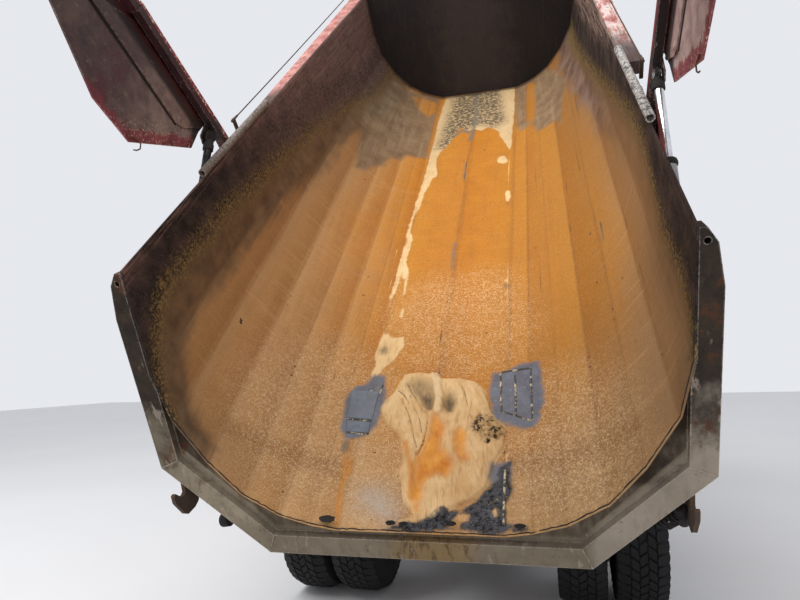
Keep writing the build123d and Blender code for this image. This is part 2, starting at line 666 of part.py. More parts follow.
    # Latch hooks below the frame's lower corners
    hooks = []
    for side in (-1, 1):
        outline = [
            (143, 370), (122, 330), (104, 328), (87, 339), (72, 388), (56, 394), (39, 355), (43, 303),
            (47, 255), (61, 229), (117, 203), (153, 200), (200, 225), (240, 270), (240, 340),
        ]
        hooks.append(side_plate(outline, side * 1150, side * 1168))
    keep("latch_hooks", [h - frame for h in hooks], BED_PLACE)

    cables = []
    for side in (-1, 1):
        cables.append(rod_between((side * 1180, 2000, 1430), (side * 1060, BED_LENGTH, 1420), 4))
        cables.append(block(side * 1110, side * 1188, 1990, 2016, 1372, 1440))
        cables.append(block(side * 1010, side * 1070, BED_LENGTH - 30, BED_LENGTH, 1300, 1430))
    left, right = rails[0].fuse(tubes[0]), rails[1].fuse(tubes[1])
    keep("tarp_cables", [c - outer - r for c, r in zip(cables, [left] * 3 + [right] * 3)], BED_PLACE)


# Tailgate, drawn closed in the bed's frame


def tailgate():
    gap = 6
    outline = [
        (-767, 0), (767, 0), (1250, 484), (CHEEK_OUT, 800), (CHEEK_OUT, 1250), (-CHEEK_OUT, 1250),
        (-CHEEK_OUT, 800), (-1250, 484),
    ]
    plate = extrude(REAR_PLANE.offset(gap) * make_face(Polyline(*outline, close=True)), 10)
    ribs = []
    for s, half in ((60, 740), (420, 1080), (800, 1200), (1150, 1200)):
        rib = REAR_PLANE.offset(gap + 10) * Pos(0, s, 0) * Rectangle(half * 2, 90)
        ribs.append(extrude(rib, 70))
    for x in (-600, 0, 600):
        rib = REAR_PLANE.offset(gap + 10) * Pos(x, 620, 0) * Rectangle(90, 1150)
        ribs.append(extrude(rib, 60))
    # Latch pins, each between two lugs, held by the hooks when the gate is shut
    for side in (-1, 1):
        ribs.append(rod_x(14, side * 1132, side * 1188, 105, 374))
        ear = [(127, 374), (139, 400), (139, 450), (88, 400), (88, 360), (118, 356)]
        for x in (1132, 1180):
            ribs.append(side_plate(ear, side * x, side * (x + 8)))
    keep("tailgate_panel", [plate] + ribs, GATE_PLACE)

    arms = []
    for side in (-1, 1):
        cheek = side_plate(
            [(1462, 1035), (1456, 901), (1072, 543), (808, 542), (452, 706), (289.4, 770), (435.3, 1150),
             (743, 1160), (1500, 1175)],
            side * CHEEK_IN,
            side * CHEEK_OUT,
        )
        bar = side_plate(
            [(1960, 1100), (1942, 1142), (1900, 1160), (1600, 1175), (760, 1165), (760, 1103), (1600, 1100),
             (1858, 1050), (1900, 1040), (1942, 1058)],
            side * 1192,
            side * 1235,
        )
        eye_lug = [(1460, 1100), (1460, 1000), (1500, 975), (1550, 1000), (1560, 1105)]
        lug = side_plate(eye_lug, side * 1228, side * 1235)
        fold = [(743, 1150), (1490, 1160), (1490, 1170), (743, 1160)]
        flange = side_plate(fold, side * 1192, side * CHEEK_IN)
        post = block(side * 1200, side * CHEEK_IN, 640, 760, 1100, 1160)
        pin = rod_x(GATE_PIN_R, side * 1160, side * 1262, GATE_PIVOT_FWD, GATE_PIVOT_UP)
        arms += [cheek, bar, lug, flange, post, pin]
    keep("tailgate_arms", arms, GATE_PLACE)


# Cylinders


def gate_cylinders():
    length = math.dist(GATE_CYL_BASE, GATE_CYL_EYE)
    for name, side in (("left", -1), ("right", 1)):
        place = BED_PLACE * along(side * GATE_CYL_X, GATE_CYL_BASE, GATE_CYL_EYE)
        tube = Pos(0, 0, 30) * standing(GATE_BARREL_R, GATE_BARREL_LENGTH - 30)
        eye = Rot(0, 90, 0) * Cylinder(32, 40)
        barrel = tube.fuse(eye) - Rot(0, 90, 0) * Cylinder(15 + RUNNING_GAP, 60)
        hollow = Pos(0, 0, 60) * standing(GATE_ROD_R + 0.5, 1000)
        keep(f"gate_cylinder_{name}", barrel - hollow, place)
        rod = Cylinder(GATE_ROD_R, 1030, align=(Align.CENTER, Align.CENTER, Align.MAX))
        end = (Rot(0, 90, 0) * Cylinder(31, 36)).fuse(Pos(0, 0, -45) * Cylinder(21, 50))
        keep(f"gate_rod_{name}", joined([Pos(0, 0, length) * rod, Pos(0, 0, length) * end]), place)


def hoist():
    eye = (BED_PLACE * Pos(0, HOIST_EYE_FWD, HOIST_EYE_UP)).position
    base = (HOIST_BASE_Y, HOIST_BASE_Z)
    target = (eye.Y, eye.Z)
    place = along(0, base, target)
    low, high = HOIST_BARREL
    lowered = (HINGE_Y + HOIST_EYE_FWD - HINGE_FWD, HINGE_Z + HOIST_EYE_UP - HINGE_UP)
    stroke = (math.dist(base, target) - math.dist(base, lowered)) / 3
    names = ["hoist_barrel", "hoist_stage_1", "hoist_stage_2", "hoist_stage_3"]
    for i, name in enumerate(names):
        r = HOIST_RADII[i]
        shift = i * stroke
        bottom = low + shift + (i * 15)
        top = high + shift + i * 22
        tube = Pos(0, 0, bottom) * standing(r, top - bottom)
        if i < 3:
            tube = tube - Pos(0, 0, bottom + 14) * standing(r - HOIST_WALL, top - bottom)
        if i == 0:
            tube = tube.fuse(Rot(0, 90, 0) * Cylinder(35, 2 * 195) - Cylinder(r - 5, 200))
            ring = Cylinder(r + 8, 60) - Cylinder(r - 5, 60)
            tube = tube.fuse(ring)
        if i == 3:
            end = math.dist(base, target)
            tube = tube.fuse(Pos(0, 0, top) * standing(40, end - top))
            tube = tube.fuse(Pos(0, 0, end) * Rot(0, 90, 0) * Cylinder(60, 110))
        keep(name, tube, place)


chassis_frame()
tipper_subframe()
leaf_springs()
axles()
drivetrain()
side_gear()
rear_gear()
wheels()
knuckles()
cab()
cab_front()
bed()
tailgate()
gate_cylinders()
hoist()

for name, shape in nodes.items():
    export_step(Pos(0, ORIGIN_SHIFT, 0) * shape, f"parts/{name}.step")
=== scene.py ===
import functools
import math

import bmesh
import bpy
import numpy as np
from mathutils import Matrix, Vector, noise
from mathutils.bvhtree import BVHTree


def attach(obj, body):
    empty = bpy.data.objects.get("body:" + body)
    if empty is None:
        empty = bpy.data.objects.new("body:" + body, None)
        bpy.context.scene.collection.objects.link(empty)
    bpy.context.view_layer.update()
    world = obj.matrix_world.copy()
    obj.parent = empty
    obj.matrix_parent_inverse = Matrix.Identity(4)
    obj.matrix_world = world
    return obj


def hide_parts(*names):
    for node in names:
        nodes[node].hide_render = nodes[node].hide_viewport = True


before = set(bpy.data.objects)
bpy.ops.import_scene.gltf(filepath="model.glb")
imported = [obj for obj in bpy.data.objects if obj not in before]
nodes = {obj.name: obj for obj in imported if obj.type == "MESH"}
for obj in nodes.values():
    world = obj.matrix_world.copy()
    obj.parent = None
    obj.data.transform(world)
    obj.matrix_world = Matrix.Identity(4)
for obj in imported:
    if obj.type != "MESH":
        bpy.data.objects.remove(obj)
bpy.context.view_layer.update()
# Without a seed the uneven lines of the welds would differ from run to run.
noise.seed_set(1)

# Camera fitted to the photograph: place in metres, turn to the left, tilt up and roll in radians
ORIGIN_SHIFT = -3.2719
CAMERA_AT = Vector((0.676, -2.849 + ORIGIN_SHIFT, 1.546))
CAMERA_YAW = 0.255
CAMERA_PITCH = 0.120
CAMERA_ROLL = 0.027
FOCAL_PIXELS = 601
PHOTO_SIZE = (800, 600)

# The bed, in metres: x to the right, fwd along the floor from the rear lip, up from the floor
BED_LENGTH = 5.160
BED_SKIN = 0.008
REAR_LEAN = math.radians(21)
TIP = math.radians(47)
HINGE_Y = 0.800
HINGE_Z = 1.050
HINGE_FWD = 0.820
HINGE_UP = -0.329
GATE_PIVOT = (0, 1.900, 1.100)
GATE_OPEN = math.radians(73)
SECTION = [
    # x rear, up rear, x front, up front
    (0.000, 0.145, 0.000, 0.150),
    (0.400, 0.145, 0.400, 0.155),
    (0.520, 0.165, 0.500, 0.190),
    (0.669, 0.210, 0.600, 0.235),
    (0.844, 0.316, 0.730, 0.330),
    (0.985, 0.485, 0.860, 0.490),
    (1.110, 0.700, 0.965, 0.700),
    (1.155, 0.920, 1.000, 0.920),
    (1.155, 1.390, 1.000, 1.320),
]

CAMERA_TURN = (
    Matrix.Rotation(CAMERA_YAW, 4, "Z")
    @ Matrix.Rotation(CAMERA_PITCH, 4, "X")
    @ Matrix.Rotation(CAMERA_ROLL, 4, "Y")
    @ Matrix.Rotation(math.radians(90), 4, "X")
)
BED = (
    Matrix.Translation((0, HINGE_Y + ORIGIN_SHIFT, HINGE_Z))
    @ Matrix.Rotation(TIP, 4, "X")
    @ Matrix.Translation((0, -HINGE_FWD, -HINGE_UP))
)
GATE = BED @ Matrix.Translation(GATE_PIVOT) @ Matrix.Rotation(-GATE_OPEN, 4, "X")
GATE = GATE @ Matrix.Translation((0, -GATE_PIVOT[1], -GATE_PIVOT[2]))


def placed(name, data):
    obj = bpy.data.objects.new(name, data)
    bpy.context.scene.collection.objects.link(obj)
    return obj


def evaluated(obj):
    return obj.evaluated_get(bpy.context.evaluated_depsgraph_get())


def solid_mesh(obj):
    # The object's mesh with its modifiers applied.
    return bpy.data.meshes.new_from_object(evaluated(obj))


def circle(count, phase=0.0):
    # Points evenly round the unit circle.
    turns = [2 * math.pi * (k + phase) / count for k in range(count)]
    return [(math.cos(a), math.sin(a)) for a in turns]


def arc(low, high, steps):
    # Points of the unit circle between two angles in degrees.
    turns = [math.radians(low + (high - low) * k / steps) for k in range(steps + 1)]
    return [(math.cos(a), math.sin(a)) for a in turns]


def toward(a, b, count):
    # Points from a to b, without b itself.
    return [tuple(p + (q - p) * k / count for p, q in zip(a, b)) for k in range(count)]


def wobbly(line, scale, size):
    # A weld bead's uneven line.
    return [q + Vector(noise.noise_vector(q * scale)) * size for q in line]


def camera():
    data = bpy.data.cameras.new("camera")
    data.sensor_width = 36
    data.lens = FOCAL_PIXELS / PHOTO_SIZE[0] * data.sensor_width
    data.clip_end = 200
    obj = placed("camera", data)
    obj.matrix_world = Matrix.Translation(CAMERA_AT) @ CAMERA_TURN
    bpy.context.scene.camera = obj


def pixel_ray(pixel):
    u, v = pixel
    ray = Vector((u - PHOTO_SIZE[0] / 2, PHOTO_SIZE[1] / 2 - v, -FOCAL_PIXELS))
    return (CAMERA_TURN.to_3x3() @ ray).normalized()


# Colours and materials


def srgb(r, g, b):
    def lin(c):
        c = c / 255
        return c / 12.92 if c <= 0.04045 else ((c + 0.055) / 1.055) ** 2.4

    return (lin(r), lin(g), lin(b), 1)


class Finish:
    # A material, the colour laid on so far, and short calls that add its nodes and return their outputs.

    def __init__(self, name, metallic=0.0, rough=0.6):
        self.material = bpy.data.materials.new(name)
        self.material.use_nodes = True
        self.tree = self.material.node_tree
        self.shader = self.tree.nodes["Principled BSDF"]
        self.color = None
        self.set("Metallic", metallic)
        self.set("Roughness", rough)

    def put(self, socket, value):
        if isinstance(value, bpy.types.NodeSocket):
            self.tree.links.new(value, socket)
        elif value is not None:
            socket.default_value = value

    def set(self, name, value):
        self.put(self.shader.inputs[name], value)

    def done(self, rough=None, normal=None):
        self.set("Base Color", self.color)
        self.set("Roughness", rough)
        self.set("Normal", normal)
        return self.material

    def add(self, kind, inputs=(), **props):
        node = self.tree.nodes.new(kind)
        for key, value in props.items():
            setattr(node, key, value)
        for key, value in dict(inputs).items():
            self.put(node.inputs[key], value)
        return node

    def coords(self, place=None):
        # Object coordinates in metres, turned back into the frame of a placed part.
        out = self.add("ShaderNodeTexCoord").outputs["Object"]
        if place is None:
            return out
        back = place.inverted()
        inputs = {"Vector": out, "Location": back.to_translation(), "Rotation": back.to_euler()}
        return self.add("ShaderNodeMapping", inputs).outputs[0]

    def noise(self, vector, scale, detail=5.0, rough=0.55, turn=(0, 0, 0)):
        # The scale is a number, or three numbers for a grain drawn out along an axis.
        if isinstance(scale, tuple):
            inputs = {"Vector": vector, "Scale": scale, "Rotation": turn}
            vector, scale = self.add("ShaderNodeMapping", inputs).outputs[0], 1.0
        inputs = {"Vector": vector, "Scale": scale, "Detail": detail, "Roughness": rough}
        return self.add("ShaderNodeTexNoise", inputs).outputs[0]

    def math(self, operation, *values):
        node = self.add("ShaderNodeMath", operation=operation)
        for socket, value in zip(node.inputs, values):
            self.put(socket, value)
        return node.outputs[0]

    def times(self, *values):
        return functools.reduce(lambda a, b: self.math("MULTIPLY", a, b), values)

    def plus(self, *values):
        return functools.reduce(lambda a, b: self.math("ADD", a, b), values)

    def minus(self, a, b):
        return self.math("SUBTRACT", a, b)

    def centred(self, value, size):
        # The value's distance from one half, times size.
        return self.times(self.minus(value, 0.5), size)

    def step(self, value, low, high, to_low=0.0, to_high=1.0):
        inputs = {"Value": value, "From Min": low, "From Max": high, "To Min": to_low, "To Max": to_high}
        return self.add("ShaderNodeMapRange", inputs, interpolation_type="SMOOTHSTEP").outputs[0]

    def mix(self, fac, a, b):
        # A colour is a socket, a linear colour with alpha, or three sRGB values to 255.
        node = self.add("ShaderNodeMix", data_type="RGBA")
        for index, value in ((0, fac), (6, a), (7, b)):
            plain = isinstance(value, tuple) and len(value) == 3
            self.put(node.inputs[index], srgb(*value) if plain else value)
        return node.outputs[2]

    def shade(self, value, a, b):
        # Two colours blended by a noise value.
        return self.mix(self.step(value, 0.3, 0.7), a, b)

    def lay(self, amount, over):
        self.color = self.mix(amount, self.color, over)

    def attribute(self, name):
        return self.add("ShaderNodeAttribute", attribute_name=name).outputs["Fac"]

    def split(self, vector):
        return self.add("ShaderNodeSeparateXYZ", {"Vector": vector}).outputs

    def bump(self, height, distance, strength):
        inputs = {"Height": height, "Distance": distance, "Strength": strength}
        return self.add("ShaderNodeBump", inputs).outputs[0]

    def edge(self, radius):
        # 1 at worn edges and corners: where a rounded normal leaves the real one.
        rounded = self.add("ShaderNodeBevel", {"Radius": radius}, samples=4).outputs[0]
        real = self.add("ShaderNodeNewGeometry").outputs["Normal"]
        dot = self.add("ShaderNodeVectorMath", operation="DOT_PRODUCT")
        self.put(dot.inputs[0], rounded)
        self.put(dot.inputs[1], real)
        return self.step(self.minus(1.0, dot.outputs["Value"]), 0.02, 0.25)


# Marks on the bed's inside, outlined in pixels of the photograph

PUTTY_FRONT = [
    (447, 94), (471, 91), (515, 84), (514.5, 111), (513, 127), (512, 142), (511, 152), (506, 144),
    (500, 136), (498, 131), (488, 127), (482, 131), (475, 129), (467, 131), (461, 127), (455, 135),
    (449, 144), (441, 152), (437, 158), (436.5, 166), (434, 174), (430.5, 183), (424.5, 193), (422, 203),
    (418, 209), (413, 221), (410, 232), (406, 246), (403, 250), (409, 226), (414.5, 208), (420, 192),
    (427, 168), (434, 140), (441, 112),
]
PUTTY_SEAM = [
    (408, 235), (411, 232), (413, 240), (409, 252), (406, 262), (408, 275), (407, 286), (404, 300),
    (403.5, 317), (400, 318), (402, 298), (404, 280), (402, 270), (399, 283), (393, 296), (390, 306),
    (387, 312), (391, 296), (398, 270), (403, 250),
]
PUTTY_BLOB = [
    (385, 331), (392, 337), (398, 338), (403.5, 337), (404, 346), (398, 354), (392, 362), (384, 369),
    (376, 376), (370, 378), (376, 366), (375, 354), (380, 342),
]
PUTTY_WINGS = [
    (404, 376), (410, 374), (422, 373), (435, 375), (441, 379), (461, 379), (476, 382), (485, 390),
    (489, 401), (493, 414), (502, 423), (506, 432), (504, 449), (495, 462), (491, 475), (487, 488),
    (472, 500), (450, 511), (441, 520), (422, 527), (398, 529), (396, 520), (412, 517), (404, 500),
    (400, 471), (402, 452), (402, 444), (394, 432), (385, 425), (379, 410), (384, 402), (394, 394),
]
ORANGE_TONGUE = [
    (434.5, 416), (438, 420), (445, 427), (443, 440), (441, 449), (447, 456), (454, 462), (453, 472),
    (447, 479), (437, 477), (430, 480), (424, 486), (421, 500), (417, 513), (414, 500), (413, 478),
    (418, 462), (426, 447), (430, 432),
]
ORANGE_TONGUE_RIGHT = [(455, 436), (462, 432), (466, 440), (464, 452), (470, 462), (463, 466), (456, 455)]
SPECKLED = [
    (456, 93), (498, 87), (500, 104), (503, 122), (494, 127), (482, 124), (470, 127), (456, 137),
    (445, 148), (438, 148), (446, 128), (452, 112),
]
PUTTY_CHIP = [(374, 385), (380, 381), (383, 386), (379, 392), (374, 392)]
PUTTY_SPOTS = [
    # centre x, centre y, half width, half height
    (508, 196, 2.4, 6),
    (507, 280, 2.2, 3),
    (503, 160, 5, 4),
    (463, 518, 10, 4),
    (495.5, 513, 4, 5),
    (434, 172, 3.5, 6),
    (418, 205, 3, 5),
]
PATCH_LEFT = [
    (356, 387), (366, 386), (373, 377), (384.5, 375), (386, 394), (380, 412), (377, 425), (366, 436.5),
    (355, 438), (345, 437), (342, 428), (344, 410), (346.5, 396),
]
PATCH_RIGHT = [
    (493, 373), (504, 373), (521, 364), (538.5, 361), (542, 375), (543, 390), (543.5, 403), (537, 423),
    (530, 427), (524, 429), (508, 423), (500, 420), (493, 416), (491, 395),
]
SCRAPE = [
    (506, 464), (512, 462), (512, 480), (513, 494), (506, 505), (505, 535), (480, 531), (443, 527),
    (441, 518), (453, 512), (465, 507), (476, 500), (487, 490), (498, 481), (500, 466),
]
SCRAPE_CHIPS = [
    # centre x, centre y, half width, half height
    (463, 518, 8, 3.2),
    (495.5, 513, 3, 4),
    (492, 470, 4, 9),
    (456, 522, 3, 2),
]
LIP_SOOT = [
    (385, 519), (396, 523), (420, 522), (436, 517), (445, 511), (470, 520), (505, 524), (526, 529),
    (522, 537), (500, 541), (396, 536), (387, 531),
]
LIP_BLOB = [(318, 523), (325, 521.5), (334, 526), (335, 531), (326, 533), (317, 528)]
PALE_LIP = [(362, 488), (380, 486), (393, 500), (396, 527), (360, 531), (358, 508)]
GREY_FRONT_LEFT = [
    (365, 100), (376, 84), (384, 72), (395, 80), (412, 92), (440, 97), (434, 124), (427, 158), (412, 157),
    (408, 156), (400, 160), (391, 158), (383, 166), (372, 166), (366, 170), (354, 167), (357, 158),
    (361, 130),
]
ORANGE_FRONT_LEFT = [(412, 97), (420, 96), (437, 103), (436, 113), (428, 117), (419, 110)]
GREY_FRONT_RIGHT = [
    (515, 86), (530, 80), (546, 66), (553, 72), (567, 78), (563, 95), (561, 123), (555, 121), (547, 126),
    (539, 131), (530, 123), (522, 130), (516, 127),
]
ORANGE_FRONT_RIGHT = [(527, 84), (535, 84), (535, 118), (532, 124), (527, 120)]
# Edge of the black crust on each wall, from the rear lip to the bulkhead
CRUST_LEFT = [
    (174, 420), (164, 388), (158, 350), (160, 310), (167, 288), (189, 254), (224, 214), (257, 186),
    (281, 159), (305, 138), (324, 121), (346, 108), (372, 96), (384, 82), (393, 70),
]
CRUST_RIGHT = [
    (693, 372), (692, 350), (690, 332), (688, 312), (682, 284), (668, 248), (656, 203), (646, 158),
    (634, 127), (614, 98), (592, 72), (576, 50),
]
# Lightness of each plate of the half-pipe, from the left rail to the right one: partly painted light, partly
# wear
PLATE_TONES = [0.5, 0.5, 0.52, 0.6, 0.5, 0.62, 0.5, 0.6, 0.5, 0.58, 0.5, 0.6, 0.5, 0.6, 0.5, 0.5]
# Lines: points, half width in metres
RUST_RUNS = [
    ([(350, 444), (345, 462), (341, 490), (337, 524)], 0.012),
    ([(353, 446), (352, 465), (347, 480)], 0.008),
    ([(407, 445), (412, 470), (413, 500)], 0.012),
]
CREAM_LINES = [
    ([(511, 140), (509, 170), (508.5, 200), (508, 240), (507.5, 280), (505, 330), (503.5, 370)], 0.0035),
    ([(452.5, 270), (449, 290), (446, 318)], 0.003),
    ([(507, 455), (505, 480), (503, 500), (502, 528)], 0.0035),
    ([(397, 250), (393, 270), (388, 300)], 0.003),
]
DARK_LINES = [
    ([(441.5, 322), (440, 350), (439, 375)], 0.005),
    ([(474, 124), (469, 150), (465, 172), (463.5, 182)], 0.004),
    ([(574.5, 94), (585, 146), (593.5, 187)], 0.004),
    ([(600, 222), (603, 240)], 0.009),
    ([(559, 132), (566, 180), (571, 232)], 0.003),
    ([(535, 129), (536.5, 215), (541.5, 292)], 0.002),
    ([(587, 205), (591, 200)], 0.005),
    ([(335, 372), (333, 385), (325, 410), (316, 440)], 0.003),
    ([(603, 140), (615, 183), (627, 227), (640, 267), (650, 300)], 0.0035),
    ([(566, 105), (573, 135), (580, 170)], 0.0035),
    ([(395, 160), (400, 128), (407, 108)], 0.003),
    ([(378, 164), (386, 140), (395, 112)], 0.003),
]
GREY_MARKS = [
    ([(455, 243), (453.5, 255), (452.5, 269)], 0.012),
    ([(477, 95), (476, 108), (475, 124), (470, 140)], 0.02),
    ([(601, 224), (603, 240)], 0.012),
    ([(466, 162), (464, 178)], 0.012),
    ([(455, 136), (462, 130), (470, 133)], 0.02),
    ([(346, 443), (345, 450)], 0.02),
]
# Hollows in the putty, each darkened with painted shade
HOLLOWS = [
    # centre x, centre y, half width, half height
    (384, 351, 4, 4),
    (507, 286, 2.6, 2.2),
    (508, 203.5, 1.2, 1.2),
]
# Folds of the thick putty: two scoops darkened with painted shade and painted shadow at their ends, a ridge
# between with a painted highlight, and a pocked corner
SCOOPS = [
    [(405, 387), (414, 381), (425, 380), (432, 383), (436, 391), (436.5, 403), (434, 413), (427, 415),
     (418, 406), (410, 396)],
    [(444, 396), (451, 391), (458, 397), (459, 407), (454, 417), (447, 418), (441, 411)],
]
SCOOP_ENDS = [
    [(424, 400), (431, 396), (435.5, 401), (434, 412), (429, 416), (424, 409)],
    [(444, 404), (450, 399), (456, 404), (454, 415), (448, 417), (443, 411)],
]
POCKS = [
    (474, 424), (480, 417), (490, 419), (497, 424), (503, 428), (505, 437), (498, 443), (489, 447),
    (481, 442), (475, 434),
]
RIDGE = [(436.5, 376), (438.5, 390), (439.5, 402), (438.5, 415)]
WING_CREASES = [
    [(409, 387), (413, 396), (418, 404), (423, 412), (429, 419)],
    [(403, 403), (409, 416), (413, 430), (415, 441), (418, 452)],
    [(412, 400), (417, 414), (421, 424), (423, 436)],
    [(430, 419), (428, 432), (424, 446), (419, 458)],
    [(399, 394), (406, 400), (411, 408)],
    [(460, 384), (466, 396), (469, 410)],
    [(473, 420), (480, 431), (483, 441)],
]
SCRAPE_BLUE = [(491, 465), (506, 462), (513, 465), (511, 481), (505, 488), (495, 487), (489, 479)]
# Darker bands across the floor along the bearers
BEARER_BANDS = [
    [(233, 430), (270, 446), (300, 458), (340, 468)],
    [(515, 462), (552, 462), (590, 450), (634, 427)],
]
# Repair plates by their corners, and weld beads
PLATES_LEFT = [
    [(352.4, 390.3), (379, 392), (372.2, 420), (347.2, 417.8)],
    [(348, 420.5), (370.5, 422.3), (368.7, 433.3), (346.4, 431.6)],
]
BEADS = [
    [(500.5, 373), (501.3, 411)],
    [(515, 375.6), (516, 415)],
    [(530.6, 367.9), (532.3, 420.4)],
    [(500.5, 411), (515, 415.5), (532, 421)],
    [(502, 372.5), (530.6, 368)],
    [(346.5, 418.8), (358, 420), (372, 421.6)],
    [(346, 432.5), (357, 433.5), (369, 434.3)],
    [(370.5, 391), (380, 393), (383, 385)],
    [(505, 470), (504.5, 487), (504, 505), (503.5, 525)],
    [(489, 505), (497, 500), (505, 499)],
]
BEAD_PIXELS = 2.2
FRECKLES = [
    # centre x, centre y, half width, half height
    (455, 330, 62, 45),
    (330, 420, 90, 70),
    (560, 440, 70, 60),
    (370, 470, 40, 50),
    (486, 298, 18, 18),
]


# Size of the inner face's grid in metres, and how much finer the thick putty is cut
SKIN_GRID = 0.024
PUTTY_CUTS = 5


class BedSkin:
    # The half-pipe's inner face as a grid, and where a pixel of the photograph falls on it.

    def __init__(self, spacing):
        rear, front = self.profile(0), self.profile(1)
        sides = []
        for i in range(len(rear) - 1):
            count = max(2, math.ceil(math.dist(rear[i], rear[i + 1]) / spacing))
            sides += [(i, k / count) for k in range(count)]
        sides.append((len(rear) - 2, 1.0))
        self.rows = math.ceil(BED_LENGTH / spacing)
        self.columns = len(sides)
        rear_line = np.array([self.between(rear, s) for s in sides])
        front_line = np.array([self.between(front, s) for s in sides])
        t = np.linspace(0, 1, self.rows + 1)[:, None, None]
        section = rear_line[None] * (1 - t) + front_line[None] * t
        x, up = section[..., 0], section[..., 1]
        lean = rear_line[:, 1] * math.tan(REAR_LEAN)
        fwd = lean[None] * (1 - t[..., 0]) + BED_LENGTH * t[..., 0]
        self.points = np.stack([x, fwd, up], -1).reshape(-1, 3)
        step = np.linalg.norm(np.diff(section, axis=1), axis=2)
        girth = np.concatenate([np.zeros((len(step), 1)), np.cumsum(step, 1)], 1)
        middle = int(np.argmin(np.abs(rear_line[:, 0])))
        girth = girth - girth[:, middle : middle + 1]
        # Plate number plus the place across that plate, the same along the whole bed
        strip = np.tile(np.array([s[0] + s[1] for s in sides]), self.rows + 1)
        self.flat = np.stack([girth.reshape(-1), fwd.reshape(-1), strip], -1)
        n = self.columns
        self.faces = [
            (j * n + i, j * n + i + 1, (j + 1) * n + i + 1, (j + 1) * n + i)
            for j in range(self.rows)
            for i in range(n - 1)
        ]
        self.tree = BVHTree.FromPolygons([BED @ Vector(p) for p in self.points], self.faces)

    @staticmethod
    def profile(end):
        right = [(row[2 * end], row[2 * end + 1]) for row in SECTION]
        return [(-x, up) for x, up in reversed(right[1:])] + right

    @staticmethod
    def between(line, place):
        i, f = place
        return [line[i][k] * (1 - f) + line[i + 1][k] * f for k in (0, 1)]

    def cast(self, pixel):
        # Where the pixel's ray meets the inner face; a ray that passes over its front edge is lowered.
        for lower in range(14):
            hit, normal, face, _ = self.tree.ray_cast(CAMERA_AT, pixel_ray((pixel[0], pixel[1] + lower)))
            if hit is not None:
                return hit, normal, face
        return None

    def at(self, pixel):
        # Girth and fwd where the pixel falls.
        found = self.cast(pixel)
        if found is None:
            return None
        hit, _, face = found
        corners = list(self.faces[face])
        here = np.array(BED.inverted() @ hit)
        weights = 1 / (1e-6 + np.linalg.norm(self.points[corners] - here, axis=1)) ** 2
        return (weights[:, None] * self.flat[corners, :2]).sum(0) / weights.sum()

    def outline(self, pixels):
        found = [self.at(p) for p in pixels]
        return np.array([f for f in found if f is not None])

    def finer(self, chosen, k):
        # The chosen faces again with k by k cells each: points, normals, flat places, faces.
        n = self.columns
        index, points, normals, flat, faces = {}, [], [], [], []
        for face in np.nonzero(chosen)[0]:
            j, i = divmod(int(face), n - 1)
            corners = self.faces[face]
            p, q = self.points[list(corners)], self.flat[list(corners)]
            normal = np.cross(p[1] - p[0], p[3] - p[0])
            normal /= np.linalg.norm(normal)
            cell = {}
            for b in range(k + 1):
                for a in range(k + 1):
                    key = (j * k + b, i * k + a)
                    if key not in index:
                        s, t = a / k, b / k
                        w = np.array([(1 - s) * (1 - t), s * (1 - t), s * t, (1 - s) * t])
                        index[key] = len(points)
                        points.append(w @ p)
                        normals.append(normal)
                        flat.append(w @ q)
                    cell[a, b] = index[key]
            for b in range(k):
                for a in range(k):
                    faces.append((cell[a, b], cell[a + 1, b], cell[a + 1, b + 1], cell[a, b + 1]))
        return np.array(points), np.array(normals), np.array(flat), faces


def to_segments(flat, a, b):
    best = np.full(len(flat), 1e9)
    for p, q in zip(a, b):
        d = q - p
        along = np.clip(((flat - p) @ d) / max(1e-12, d @ d), 0, 1)
        best = np.minimum(best, np.linalg.norm(flat - p - along[:, None] * d, axis=1))
    return best


def within(flat, outline):
    # Signed distance to a closed outline, positive inside.
    a, b = outline, np.roll(outline, -1, 0)
    distance = to_segments(flat, a, b)
    odd = np.zeros(len(flat), bool)
    for (x0, y0), (x1, y1) in zip(a, b):
        crosses = (y0 > flat[:, 1]) != (y1 > flat[:, 1])
        with np.errstate(divide="ignore", invalid="ignore"):
            where = (x1 - x0) * (flat[:, 1] - y0) / (y1 - y0) + x0
        odd ^= crosses & (flat[:, 0] < where)
    return np.where(odd, distance, -distance)


def most(*fields):
    return np.maximum.reduce(fields)


